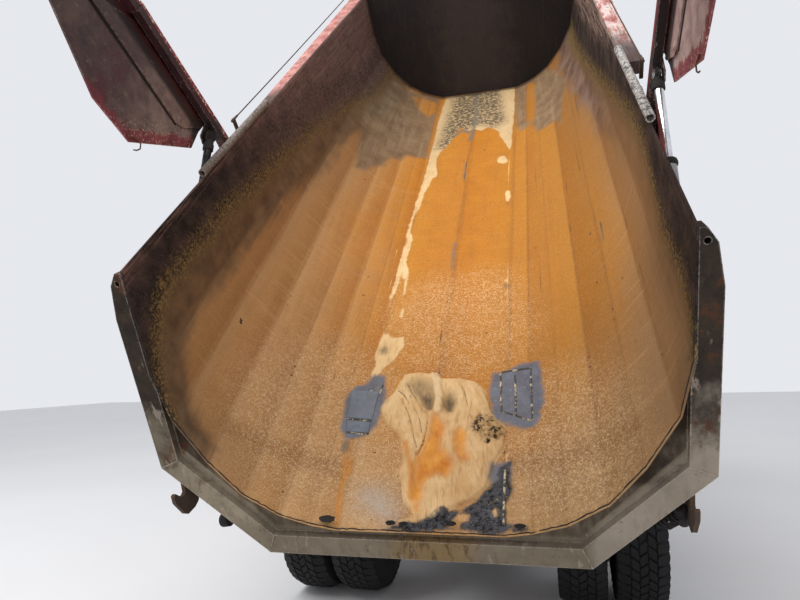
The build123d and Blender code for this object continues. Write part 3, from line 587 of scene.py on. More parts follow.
def bed_fields(skin, flat):
    # Signed distances to every mark, at the given places on the inner face.
    place, strip = flat[:, :2], flat[:, 2]
    girth, fwd = place[:, 0], place[:, 1]

    def areas(*outlines):
        return most(*[within(place, skin.outline(p)) for p in outlines])

    def spots(rows):
        return areas(*[[(x + w * c, y + h * s) for c, s in circle(14)] for x, y, w, h in rows])

    def lines(rows):
        found = []
        for pixels, half_width in rows:
            pts = skin.outline(pixels)
            found.append(half_width - to_segments(place, pts[:-1], pts[1:]))
        return most(*found)

    crust = [skin.outline(p) for p in (CRUST_LEFT, CRUST_RIGHT)]
    edges = [np.interp(fwd, c[:, 1], c[:, 0]) for c in crust]
    number = np.minimum(strip.astype(int), 2 * len(SECTION) - 3)
    across = strip - number
    left = girth < 0
    toward_middle = np.where(left, across, 1 - across)
    bend = np.abs(strip - np.round(strip)) * 0.19
    tones = np.array(PLATE_TONES)
    putty = areas(PUTTY_FRONT, PUTTY_SEAM, PUTTY_BLOB, PUTTY_WINGS, PUTTY_CHIP)
    grey = areas(GREY_FRONT_LEFT, GREY_FRONT_RIGHT)
    warm = np.exp(-(((girth - 0.2) / np.where(girth > 0.2, 1.15, 0.95)) ** 2))
    return {
        "crust": most(edges[0] - girth, girth - edges[1]),
        "putty": most(putty, spots(PUTTY_SPOTS)),
        "tongue": areas(ORANGE_TONGUE, ORANGE_TONGUE_RIGHT),
        "patch": areas(PATCH_LEFT, PATCH_RIGHT),
        "scrape": np.minimum(areas(SCRAPE, LIP_SOOT, LIP_BLOB), -spots(SCRAPE_CHIPS)),
        "pale": areas(PALE_LIP),
        "speckled": areas(SPECKLED),
        "grey": np.minimum(grey, -areas(ORANGE_FRONT_LEFT, ORANGE_FRONT_RIGHT)),
        "runs": lines(RUST_RUNS),
        "lines": lines(DARK_LINES),
        "cream": lines(CREAM_LINES),
        "marks": lines(GREY_MARKS),
        "hollow_shade": spots(HOLLOWS),
        "scoop": areas(*SCOOPS),
        "scoop_end": areas(*SCOOP_ENDS),
        "pocks": areas(POCKS),
        "ridge": lines([(RIDGE, 0.02)]),
        "blue": areas(SCRAPE_BLUE),
        "crease": lines([(p, 0.0015) for p in WING_CREASES]),
        "bearer": lines([(p, 0.04) for p in BEARER_BANDS]),
        "freckle": spots(FRECKLES),
        "fold": -bend,
        "slope": np.where(left, 1.0, 0.45) * toward_middle,
        "tone": tones[number],
        "warm": warm * np.clip((fwd + 0.1) / 1.5, 0, 1),
    }


def blank(name, points, faces, *materials):
    # A piece of the bed as a plain mesh.
    mesh = bpy.data.meshes.new(name)
    mesh.from_pydata([tuple(p) for p in points], [], faces)
    mesh.transform(BED)
    mesh.update()
    mesh.shade_smooth()
    for material in materials:
        mesh.materials.append(material)
    obj = placed(name, mesh)
    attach(obj, "bed")
    return obj


def add_fields(obj, fields):
    for name, values in fields.items():
        layer = obj.data.attributes.new(name, "FLOAT", "POINT")
        layer.data.foreach_set("value", np.clip(values, -1, 1).astype(np.float32))


def lumps(points, scale, size, at=(0, 0, 0)):
    return np.array([noise.noise(Vector(p) * scale + Vector(at)) for p in points]) * size


def bed_shell(inside, outside):
    skin = BedSkin(SKIN_GRID)
    fields = bed_fields(skin, skin.flat)
    points = skin.points.copy()
    inward = np.stack([-points[:, 0], np.zeros(len(points)), 0.9 - points[:, 2]], -1)
    inward /= np.linalg.norm(inward, axis=1)[:, None]
    crusty = np.clip(fields["crust"] * 8, 0, 1)
    lift = lumps(points, 1.5, 0.004) + lumps(points, 4.5, 0.002, (9, 0, 0))
    lift += lumps(points, 23, 0.004) * crusty
    thick_putty = within(skin.flat[:, :2], skin.outline(PUTTY_WINGS))
    lift = np.where(thick_putty > -0.03, 0.0, lift + 0.003 * np.clip(fields["putty"] * 40, 0, 1))
    free = (points[:, 1] > 0.02 + points[:, 2] * math.tan(REAR_LEAN)) & (points[:, 1] < BED_LENGTH - 0.01)
    points += inward * np.where(free & (points[:, 2] < 1.3), lift, 0)[:, None]
    obj = blank("bed_skin", points, skin.faces, inside, outside)
    add_fields(obj, fields)
    thick = obj.modifiers.new("skin", "SOLIDIFY")
    thick.thickness = BED_SKIN
    thick.offset = -1
    thick.use_even_offset = False
    thick.material_offset = 1
    thick.material_offset_rim = 0
    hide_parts("bed_shell")
    return skin


def putty_relief(skin, inside):
    # The thick putty of the floor, as a finer mesh laid on the skin.
    outline = skin.outline(PUTTY_WINGS)
    near = within(skin.flat[:, :2], outline)
    chosen = [max(near[c] for c in face) > -0.02 for face in skin.faces]
    points, normals, flat, faces = skin.finer(np.array(chosen), PUTTY_CUTS)
    fields = bed_fields(skin, flat)
    body = within(flat[:, :2], outline)
    inner = np.clip(body / 0.05, 0, 1)
    height = -0.006 + 0.012 * np.clip(body / 0.01, 0, 1) + 0.032 * inner ** 0.7
    height += inner * (lumps(points, 9, 0.007) + lumps(points, 34, 0.004, (0, 7, 0)))
    height += 0.016 * np.clip(fields["ridge"] / 0.02 + 1, 0, 1) ** 2
    scooped = 0.018 * np.clip(fields["scoop"] / 0.06 + 0.2, 0, 1)
    height -= scooped + 0.012 * np.clip(fields["scoop_end"] / 0.03 + 0.4, 0, 1)
    pits = np.minimum(lumps(points, 50, 0.03, (3, 0, 0)), 0.002)
    height += np.clip(fields["pocks"] / 0.02 + 0.5, 0, 1) * pits
    height -= 0.008 * np.clip(fields["crease"] / 0.010 + 1, 0, 1) ** 2
    height -= 0.018 * np.clip(fields["tongue"] / 0.03 + 0.5, 0, 1)
    strokes = [noise.noise(Vector((x * 60 + y * 25, y * 9 - x * 6, 0))) for x, y, _ in points]
    height += 0.005 * np.array(strokes) * inner
    height = np.where(body > 0.012, np.maximum(height, 0.002), height)
    add_fields(blank("putty_relief", points + normals * height[:, None], faces, inside), fields)


def floor_plates(skin, material, bead_material):
    # Welded repair plates and the beads round them.
    build, beads = Build(), Build()
    for corners in PLATES_LEFT:
        low, high = [], []
        for pixel in corners:
            hit, normal, _ = skin.cast(pixel)
            if normal.dot(CAMERA_AT - hit) < 0:
                normal = -normal
            low.append(hit - normal * 0.006)
            high.append(hit + normal * 0.006)
        build.slab(low, high, 0.002)
    for path in BEADS:
        spots = []
        for a, b in zip(path[:-1], path[1:]):
            spots += toward(a, b, max(2, int(math.dist(a, b) / BEAD_PIXELS)))
        line = [skin.cast(p)[0] for p in spots + path[-1:]]
        beads.tube(wobbly(line, 60, 0.002), 0.006, 7)
    build.piece("floor_repairs", "bed", material, "bed_ochre", Matrix())
    beads.piece("floor_beads", "bed", bead_material, "bed_ochre", Matrix())


def bed_inside_finish():
    m = Finish("bed_inside", rough=0.75)
    m.set("Specular IOR Level", 0.22)
    c = m.coords(BED)
    x, y, up = m.split(c)
    big = m.noise(c, 1.1, 3)
    mid = m.noise(c, 7, 6, 0.6)
    fine = m.noise(c, 45, 5, 0.65)
    grain = m.noise(c, 130, 3, 0.7)
    runs = m.noise(c, (26, 1.6, 26), 5, 0.6)
    brushed = m.noise(c, (2.5, 34, 2.5), 4, 0.6, (0, 0, 0.25))

    ragged = m.plus(m.centred(mid, 0.06), m.centred(fine, 0.025))

    def band(name, low, high, rag=1.0, amount=1.0):
        # A mark with ragged edges.
        return m.step(m.plus(m.attribute(name), m.times(ragged, rag)), low, high, 0.0, amount)

    def mask(name, soft, rag=1.0, amount=1.0):
        return band(name, -soft, soft, rag, amount)

    warm = m.step(m.plus(m.attribute("warm"), m.centred(big, 0.5), m.centred(mid, 0.2)), 0.12, 0.72)
    tan = m.mix(mid, (172, 121, 64), (210, 160, 102))
    orange = m.mix(mid, (170, 98, 4), (206, 130, 18))
    m.color = m.mix(warm, tan, orange)
    # Painted light on each plate: a painted highlight toward the wall's top, painted shade toward the floor,
    # and painted shade along the bend between
    slope = m.attribute("slope")
    m.lay(m.step(slope, 0.5, 0.0, 0.0, 0.24), m.mix(warm, (214, 176, 132), (222, 154, 48)))
    m.lay(m.step(slope, 0.35, 1.0, 0.0, 0.36), m.mix(warm, (124, 76, 36), (170, 94, 16)))
    # The right wall is duller and greyer than the left one
    m.lay(m.step(x, 0.12, 0.90, 0.0, 0.58), m.mix(warm, (118, 92, 64), (130, 88, 34)))
    # Lightness plate by plate: partly painted light, partly wear
    m.lay(m.step(m.attribute("tone"), 0.5, 0.7, 0.0, 0.35), m.mix(warm, (212, 170, 124), (224, 158, 58)))
    # Painted shade along each bend, streaked by the runs
    fold = m.step(m.attribute("fold"), -0.016, -0.002, 0.0, 0.34)
    m.lay(m.times(fold, m.step(runs, 0.3, 0.7, 0.4, 1.0)), (106, 68, 36))
    m.lay(m.step(runs, 0.46, 0.78, 0.0, 0.22), (142, 92, 44))
    scratched = m.times(m.step(brushed, 0.52, 0.78), m.step(warm, 0.0, 1.0, 0.38, 0.12))
    m.lay(scratched, (222, 176, 122))
    m.lay(band("bearer", -0.06, 0.03, 1.0, 0.45), (132, 82, 40))
    # Cream freckles where the paint has worn through in points
    freckled = m.step(m.attribute("freckle"), -0.3, 0.12, 0.16, 1.0)
    mottle = m.noise(c, 90, 4, 0.7)
    sand = m.noise(c, 300, 2, 0.6)
    m.lay(m.times(freckled, m.step(mottle, 0.46, 0.36, 0.0, 0.36)), (128, 82, 44))
    m.lay(m.times(freckled, m.step(mottle, 0.51, 0.62, 0.0, 0.46)), (230, 186, 128))
    freckle = m.times(freckled, m.step(sand, 0.52, 0.60), m.step(fine, 0.4, 0.62, 0.3, 1.0))
    m.lay(m.times(freckle, 0.85), (246, 218, 174))
    m.lay(m.step(sand, 0.48, 0.38, 0.0, 0.36), (112, 72, 38))
    pits = m.step(m.noise(c, 24, 2, 0.5), 0.745, 0.78)
    m.lay(pits, (60, 44, 34))
    # Dull and dusty toward the crust
    crust = m.attribute("crust")
    m.lay(m.step(m.plus(crust, m.centred(mid, 0.2)), -0.75, -0.2, 0.0, 0.4), (122, 92, 64))
    dull = m.plus(crust, m.centred(mid, 0.22), m.centred(big, 0.25), m.centred(runs, 0.12))
    dull = m.step(dull, -0.33, -0.19)
    dull_color = m.shade(mid, (66, 52, 42), (112, 90, 66))
    far_right = m.step(y, 2.0, 3.4, 0.4, 0.85)
    mauve = m.shade(mid, (82, 64, 60), (130, 108, 96))
    dull_color = m.mix(m.times(m.step(x, 0.2, 0.6), m.step(far_right, 0.4, 0.85)), dull_color, mauve)
    opacity = m.math("MAXIMUM", m.step(x, -0.2, 0.2, 0.85, 0.0), far_right)
    m.lay(m.times(dull, opacity), dull_color)
    # Named marks
    grey = m.shade(mid, (112, 92, 72), (142, 120, 94))
    grey = m.mix(m.step(fine, 0.54, 0.64, 0.0, 0.45), grey, (84, 70, 56))
    grey = m.mix(m.step(runs, 0.52, 0.7, 0.0, 0.35), grey, (168, 146, 116))
    m.lay(mask("grey", 0.035, 1.7, 0.86), grey)
    putty = m.shade(mid, (214, 168, 112), (240, 202, 148))
    # Painted highlight on the upper part of the thick putty
    upper_highlight = m.step(y, 0.62, 0.86)
    putty = m.mix(m.times(upper_highlight, 0.6), putty, m.mix(mid, (232, 188, 128), (248, 216, 160)))
    strokes = m.noise(c, (70, 11, 20), 5, 0.6, (0, 0, 0.45))
    putty = m.mix(m.step(strokes, 0.5, 0.7, 0, 0.55), putty, (176, 136, 86))
    putty = m.mix(m.step(strokes, 0.42, 0.25, 0, 0.5), putty, (238, 206, 156))
    putty = m.mix(m.step(grain, 0.64, 0.72, 0, 0.35), putty, (104, 86, 66))
    far = m.step(y, 2.9, 4.2)
    putty = m.mix(m.times(far, 0.9), putty, m.mix(mid, (192, 162, 116), (222, 190, 144)))
    putty = m.mix(m.times(far, m.step(fine, 0.60, 0.66, 0, 0.6)), putty, (92, 76, 58))
    speckled = band("speckled", -0.1, 0.06, 2.5)
    speckled = m.times(speckled, m.step(m.noise(c, 34, 6, 0.8), 0.44, 0.52, 0.25, 0.9))
    putty = m.mix(speckled, putty, (74, 64, 52))
    putty_mask = mask("putty", 0.006, 0.6)
    m.lay(putty_mask, putty)
    m.lay(mask("cream", 0.004, 0.12), (232, 186, 124))
    tongue = m.shade(mid, (204, 112, 14), (238, 164, 66))
    m.lay(mask("tongue", 0.035, 1.6, 0.92), tongue)
    m.lay(mask("runs", 0.014, 0.8, 0.7), (212, 134, 44))
    m.lay(m.times(band("pale", -0.1, 0.12), m.step(fine, 0.3, 0.6, 0.4, 0.85)), (186, 178, 168))
    # Painted shade in the hollows
    m.lay(mask("hollow_shade", 0.022, 0.5, 0.72), (98, 84, 68))
    # Painted shade in the scoops and painted shadow at their lower ends
    scooped = m.mix(m.step(strokes, 0.3, 0.65), (98, 82, 62), (176, 142, 98))
    m.lay(band("scoop", -0.02, 0.06, 0.6, 0.8), scooped)
    shaded = m.mix(m.step(fine, 0.4, 0.6), (58, 50, 40), (112, 94, 70))
    m.lay(band("scoop_end", -0.02, 0.04, 0.7, 0.9), shaded)
    # Painted highlight along the ridge
    m.lay(mask("ridge", 0.012, 0.3, 0.7), (236, 208, 162))
    pocked = mask("pocks", 0.02, 2.2)
    m.lay(m.times(pocked, 0.7), m.mix(m.step(fine, 0.4, 0.55), (140, 112, 70), (196, 160, 108)))
    m.lay(m.times(pocked, m.step(m.noise(c, 26, 6, 0.75), 0.51, 0.56)), (52, 42, 32))
    # Painted shade along the putty's creases
    m.lay(m.times(band("crease", -0.0035, 0.002, 0.25), m.step(mottle, 0.36, 0.5, 0.15, 0.75)), (92, 70, 46))
    m.lay(mask("marks", 0.012, 0.4, 0.75), (118, 110, 98))
    m.lay(mask("lines", 0.003, 0.1, 0.8), (84, 62, 42))
    patch = m.shade(mid, (80, 96, 114), (108, 124, 142))
    patch = m.mix(m.step(fine, 0.56, 0.7, 0, 0.6), patch, (84, 84, 88))
    patch = m.mix(m.step(fine, 0.42, 0.3, 0, 0.4), patch, (176, 176, 180))
    patchy = m.plus(m.attribute("patch"), m.centred(fine, 0.05), m.centred(mid, 0.05))
    m.lay(m.times(m.step(patchy, -0.022, 0.014), m.step(grain, 0.3, 0.62, 1.0, 0.8)), patch)
    scrape = m.mix(m.step(fine, 0.38, 0.6), (30, 30, 32), (80, 80, 84))
    scrape = m.mix(m.step(m.noise(c, 16, 5, 0.7), 0.58, 0.66, 0, 0.6), scrape, (104, 106, 110))
    scrape = m.mix(m.step(grain, 0.62, 0.68, 0, 0.8), scrape, (206, 172, 124))
    m.lay(mask("blue", 0.02, 0.7, 0.85), m.mix(mid, (88, 96, 108), (118, 126, 138)))
    m.lay(mask("scrape", 0.01, 1.3), scrape)
    # Crust high on the walls: grey-brown dust, ochre crumbs, black crumbs, then a purple-brown band
    hairs = m.noise(c, (34, 30, 5), 5, 0.65)
    edge = m.plus(crust, m.centred(hairs, 0.16), m.centred(big, 0.12), m.centred(mid, 0.1))
    dust = m.mix(fine, (84, 66, 48), (128, 100, 70))
    m.lay(m.step(edge, -0.16, -0.02, 0.0, 0.8), dust)
    black = m.mix(m.step(mid, 0.35, 0.7), (30, 24, 23), (70, 54, 48))
    black = m.mix(m.step(grain, 0.56, 0.68, 0, 0.55), black, (112, 94, 74))
    crust_mask = m.step(m.plus(edge, m.centred(grain, 0.16)), -0.04, 0.05)
    m.lay(crust_mask, black)
    verge = m.times(m.step(edge, -0.10, -0.01), m.step(edge, 0.12, 0.02))
    crumbs = m.times(verge, m.step(m.noise(c, 66, 5, 0.75), 0.46, 0.56))
    m.lay(m.times(crumbs, 0.8), m.mix(fine, (112, 88, 46), (184, 152, 92)))
    pits_dark = m.times(verge, m.step(m.noise(c, 48, 5, 0.75), 0.42, 0.36))
    m.lay(m.times(pits_dark, 0.7), (40, 31, 28))
    purple = m.shade(mid, (74, 54, 54), (116, 90, 84))
    lengthwise = m.noise(c, (60, 2.5, 60), 5, 0.65)
    greyer = m.mix(m.step(lengthwise, 0.40, 0.62), (56, 42, 40), (158, 132, 118))
    rear = m.step(y, 1.9, 0.7)
    greyer = m.mix(m.times(rear, 0.8), greyer, m.mix(mid, (40, 30, 30), (74, 58, 52)))
    redder = m.mix(m.step(lengthwise, 0.42, 0.62), (70, 49, 48), (146, 112, 100))
    purple = m.mix(m.step(x, -0.2, -0.8, 0.0, 0.55), purple, redder)
    purple = m.mix(m.step(x, 0.2, 0.8), purple, greyer)
    m.lay(m.step(m.plus(edge, m.centred(fine, 0.1)), 0.2, 0.40, 0.0, 0.85), purple)
    rim_red = m.times(m.step(up, 1.30, 1.38), m.step(x, -0.2, -0.8), m.step(lengthwise, 0.48, 0.6))
    m.lay(m.times(rim_red, 0.6), (134, 100, 88))
    left_far = m.times(crust_mask, m.step(y, 1.2, 3.0), m.step(x, 0.0, -0.4))
    m.lay(m.times(left_far, m.step(fine, 0.42, 0.6, 0.2, 0.6)), (124, 98, 90))
    # Dark band along the floor at the bulkhead: a dark joint, and painted shadow under the bulkhead
    corner_joint_and_shadow = m.step(m.plus(y, m.centred(mid, 0.12)), BED_LENGTH - 0.10, BED_LENGTH - 0.03)
    m.lay(m.times(corner_joint_and_shadow, 0.8), m.mix(fine, (30, 22, 20), (82, 60, 44)))
    height = m.plus(m.times(fine, 0.35), m.times(grain, 0.2), m.times(crust_mask, fine, 2.0),
                    m.times(crumbs, 1.5), m.times(putty_mask, 0.8))
    return m.done(m.step(crust_mask, 0.0, 1.0, 0.68, 0.92), m.bump(height, 0.004, 0.8))


def lights():
    world = bpy.data.worlds.new("world")
    bpy.context.scene.world = world
    world.use_nodes = True
    sky = world.node_tree.nodes["Background"].inputs
    sky["Color"].default_value = (0.93, 0.95, 1, 1)
    sky["Strength"].default_value = 0.85
    data = bpy.data.lights.new("softbox", "AREA")
    data.shape = "RECTANGLE"
    data.size, data.size_y = 9, 6
    data.energy = 1000
    lamp = placed("softbox", data)
    lamp.location = (-2.8, -7.5, 10)
    lamp.rotation_euler = (Vector((0, -2, 2)) - lamp.location).to_track_quat("-Z", "Y").to_euler()


def stage():
    bpy.ops.mesh.primitive_plane_add(size=60, location=(0, 0, 0))
    floor = bpy.context.object
    floor.name = "floor"
    m = Finish("floor_paper", rough=0.9)
    m.color = m.mix(m.noise(m.coords(), 0.4, 2), (0.66, 0.66, 0.66, 1), (0.72, 0.72, 0.72, 1))
    floor.data.materials.append(m.done())


# Finishes of painted, rusty and worn parts

# Ribs of a lamp's lens and threads of the fabric, in radians a metre
RIBS_PER_M = 900
THREADS_PER_M = 1500


def dim(color, k):
    return tuple(min(1.0, v * k) for v in color[:3]) + (1,)


def paint(name, base, under, dust=(150, 140, 126), chips=0.25, dusty=0.25, grime=0.3, low=None, edge=0.005,
          rough=0.55, place=None, streaks=0.3, blotch=0.25):
    # Weathered paint: uneven base, dust, grime low down, run marks, chips, and bare steel along edges.
    m = Finish(name, 0.0, rough)
    c = m.coords(place)
    base, under = srgb(*base), srgb(*under)
    big = m.noise(c, 1.3, 4)
    mid = m.noise(c, 7, 6, 0.6)
    fine = m.noise(c, 55, 5, 0.65)
    m.color = m.shade(mid, dim(base, 1 - blotch), dim(base, 1 + blotch))
    m.lay(m.step(big, 0.4, 0.75, 0.0, dusty), dust)
    runs = m.noise(c, (22, 22, 2.2), 4, 0.6)
    m.lay(m.step(runs, 0.48, 0.75, 0.0, streaks), dim(base, 0.45))
    if low:
        height = m.plus(m.split(c)[2], m.centred(mid, 0.5))
        m.lay(m.step(height, low, low - 0.7, 0.0, grime), dust)
    worn = m.edge(edge)
    spots = m.step(m.noise(c, 26, 6, 0.7), 0.7 - 0.12 * chips, 0.74 - 0.1 * chips)
    ragged = m.times(worn, m.step(fine, 0.38, 0.55))
    bare = m.math("MAXIMUM", m.times(spots, min(1.0, chips * 3)), ragged)
    m.lay(bare, m.mix(fine, dim(under, 0.6), dim(under, 1.5)))
    gloss = m.plus(m.step(mid, 0.2, 0.8, rough - 0.12, rough + 0.15), m.times(bare, 0.15))
    return m.done(gloss, m.bump(m.minus(m.times(fine, 0.25), bare), 0.0012, 0.6))


def bare_metal(name, base, rough, tint, rust):
    m = Finish(name, 1.0, rough)
    c = m.coords()
    mid = m.noise(c, 14, 6, 0.65)
    scratches = m.noise(c, (90, 90, 6), 3)
    m.color = m.mix(m.step(mid, 0.35, 0.7), dim(srgb(*base), 0.75), base)
    stain = m.step(m.noise(c, 8.4, 7, 0.7), 0.62 - 0.2 * rust, 0.72 - 0.2 * rust)
    m.lay(m.times(stain, min(1.0, rust * 2)), tint)
    m.set("Metallic", m.step(stain, 0.2, 0.8, 1.0, 1 - rust))
    gloss = m.plus(m.times(scratches, 0.2), m.step(stain, 0.0, 1.0, rough - 0.1, 0.8))
    return m.done(gloss, m.bump(m.plus(m.times(mid, 0.3), scratches), 0.0006, 0.5))


def rubber(name):
    m = Finish(name, 0.0, 0.85)
    dust = (70, 66, 62)
    c = m.coords()
    mid = m.noise(c, 9, 6, 0.65)
    fine = m.noise(c, 120, 4, 0.7)
    m.color = m.mix(m.step(mid, 0.4, 0.8, 0.0, 0.22), (12, 12, 14), dust)
    m.lay(m.step(fine, 0.55, 0.75, 0.0, 0.25), dim(srgb(*dust), 0.6))
    return m.done(m.step(mid, 0.2, 0.8, 0.75, 0.95), m.bump(m.plus(fine, mid), 0.0012, 0.5))


def glass(name, tint=(50, 60, 62), clear=0.6):
    m = Finish(name, 0.0, 0.06)
    film = m.noise(m.coords(), 3.5, 5, 0.6)
    m.color = m.mix(m.step(film, 0.45, 0.8, 0.0, 0.35), tint, (150, 146, 136))
    m.set("Transmission Weight", clear)
    m.set("IOR", 1.15)
    return m.done(m.step(film, 0.3, 0.8, 0.04, 0.22))


def lens(name, color):
    m = Finish(name, 0.0, 0.12)
    ribs = m.math("SINE", m.times(m.split(m.coords())[0], RIBS_PER_M))
    m.color = m.mix(m.step(ribs, -1, 1), dim(srgb(*color), 0.6), color)
    m.set("Coat Weight", 0.6)
    return m.done(normal=m.bump(ribs, 0.001, 0.5))


def fabric(name):
    m = Finish(name, 0.0, 0.92)
    c = m.coords()
    x, y, z = m.split(c)
    weave = m.times(*[m.math("SINE", m.times(q, THREADS_PER_M)) for q in (x, m.plus(y, z))])
    base = srgb(52, 54, 62)
    m.color = m.mix(m.step(weave, -1, 1), dim(base, 0.7), dim(base, 1.25))
    m.lay(m.step(m.noise(c, 6, 5, 0.6), 0.5, 0.8, 0.0, 0.4), (112, 104, 94))
    m.set("Sheen Weight", 0.25)
    return m.done(normal=m.bump(weave, 0.0008, 0.5))


def rear_frame_finish():
    # Dirty grey-beige low down, black-brown with soot up the posts.
    m = Finish("rear_frame", 0.0, 0.7)
    c = m.coords(BED)
    x, _, up = m.split(c)
    big = m.noise(c, 2.2, 5, 0.6)
    mid = m.noise(c, 9, 7, 0.65)
    fine = m.noise(c, 70, 5, 0.7)
    runs = m.noise(c, (24, 24, 2), 5, 0.65)
    base = m.shade(mid, (126, 114, 96), (152, 140, 120))
    base = m.mix(m.step(runs, 0.52, 0.70, 0.0, 0.55), base, (84, 68, 54))
    base = m.mix(m.step(up, 0.20, 0.13, 0.0, 0.55), base, (98, 88, 74))
    # The recessed plate inside the box profile is darker than the profile, with streaks of dirt and painted
    # shade in the recess; inset is how far inside it
    across = m.math("ABSOLUTE", x)
    climb = m.times(m.math("MAXIMUM", m.minus(across, 0.725), 0.0), 1.007)
    inset = m.times(m.minus(m.minus(up, 0.105), climb), 0.7)
    inset = m.math("MINIMUM", inset, m.minus(1.145, across))
    plate = m.step(inset, -0.004, 0.012)
    base = m.mix(m.times(plate, m.step(runs, 0.3, 0.6, 0.3, 0.85)), base, (78, 66, 54))
    slanted = m.times(m.step(inset, 0.0, -0.02), m.step(x, 0.74, 0.80, 0.0, 0.45))
    base = m.mix(slanted, base, (166, 154, 142))
    middle = m.minus(m.math("ABSOLUTE", m.minus(x, 0.05)), m.times(mid, 0.2))
    stained = m.step(middle, 0.16, 0.0)
    base = m.mix(m.times(stained, 0.6), base, (134, 104, 56))
    base = m.mix(m.times(stained, m.step(runs, 0.48, 0.62, 0.0, 0.7)), base, (66, 52, 36))
    height = m.plus(up, m.centred(big, 0.9), m.times(plate, 0.12), m.centred(mid, 0.5))
    soot = m.shade(mid, (22, 16, 12), (52, 40, 30))
    soot = m.mix(m.step(fine, 0.6, 0.75, 0, 0.45), soot, (104, 86, 66))
    m.color = m.mix(m.step(height, 0.42, 0.74, 0.0, 0.96), base, soot)
    pale_run = m.step(m.noise(c, (26, 26, 1.8), 4), 0.60, 0.68)
    pale_run = m.times(pale_run, m.step(up, 1.3, 0.8), m.step(plate, 1.0, 0.0, 0.0, 0.6))
    m.lay(pale_run, (156, 142, 128))
    rusty = m.times(m.step(mid, 0.56, 0.64), m.step(up, 0.25, 0.55))
    m.lay(m.times(rusty, 0.5), (92, 52, 30))
    # Pale edges: worn paint, and a painted highlight along the folds
    worn = m.times(m.edge(0.010), m.step(fine, 0.35, 0.6))
    m.lay(m.times(worn, 0.75), (192, 182, 168))
    chips = m.step(m.noise(c, 30, 6, 0.7), 0.63, 0.68)
    m.lay(m.times(chips, 0.7), (66, 46, 34))
    m.set("Specular IOR Level", 0.25)
    relief = m.plus(m.times(fine, 0.5), mid)
    return m.done(m.step(mid, 0.2, 0.8, 0.8, 0.95), m.bump(relief, 0.0025, 0.6))


def bulkhead_finish():
    m = Finish("bulkhead", 0.0, 0.8)
    c = m.coords(BED)
    x, y, _ = m.split(c)
    mid = m.noise(c, 6, 7, 0.65)
    grain = m.noise(c, 110, 4, 0.7)
    hair = m.noise(c, (40, 40, 5), 6, 0.7)
    m.color = m.shade(mid, (15, 11, 13), (36, 27, 27))
    centre = m.plus(m.math("ABSOLUTE", x), m.centred(mid, 0.5))
    m.lay(m.step(centre, 0.55, 0.15, 0.0, 0.6), m.mix(grain, (44, 34, 32), (84, 70, 64)))
    m.lay(m.step(grain, 0.60, 0.74, 0, 0.4), (104, 86, 76))
    m.lay(m.step(hair, 0.54, 0.78, 0, 0.4), (84, 64, 52))
    front = m.step(y, BED_LENGTH + 0.004, BED_LENGTH + 0.007)
    outer = m.mix(mid, (116, 40, 36), (156, 66, 56))
    m.lay(front, outer)
    return m.done(m.step(mid, 0.2, 0.8, 0.65, 0.95), m.bump(m.plus(grain, hair), 0.003, 0.7))


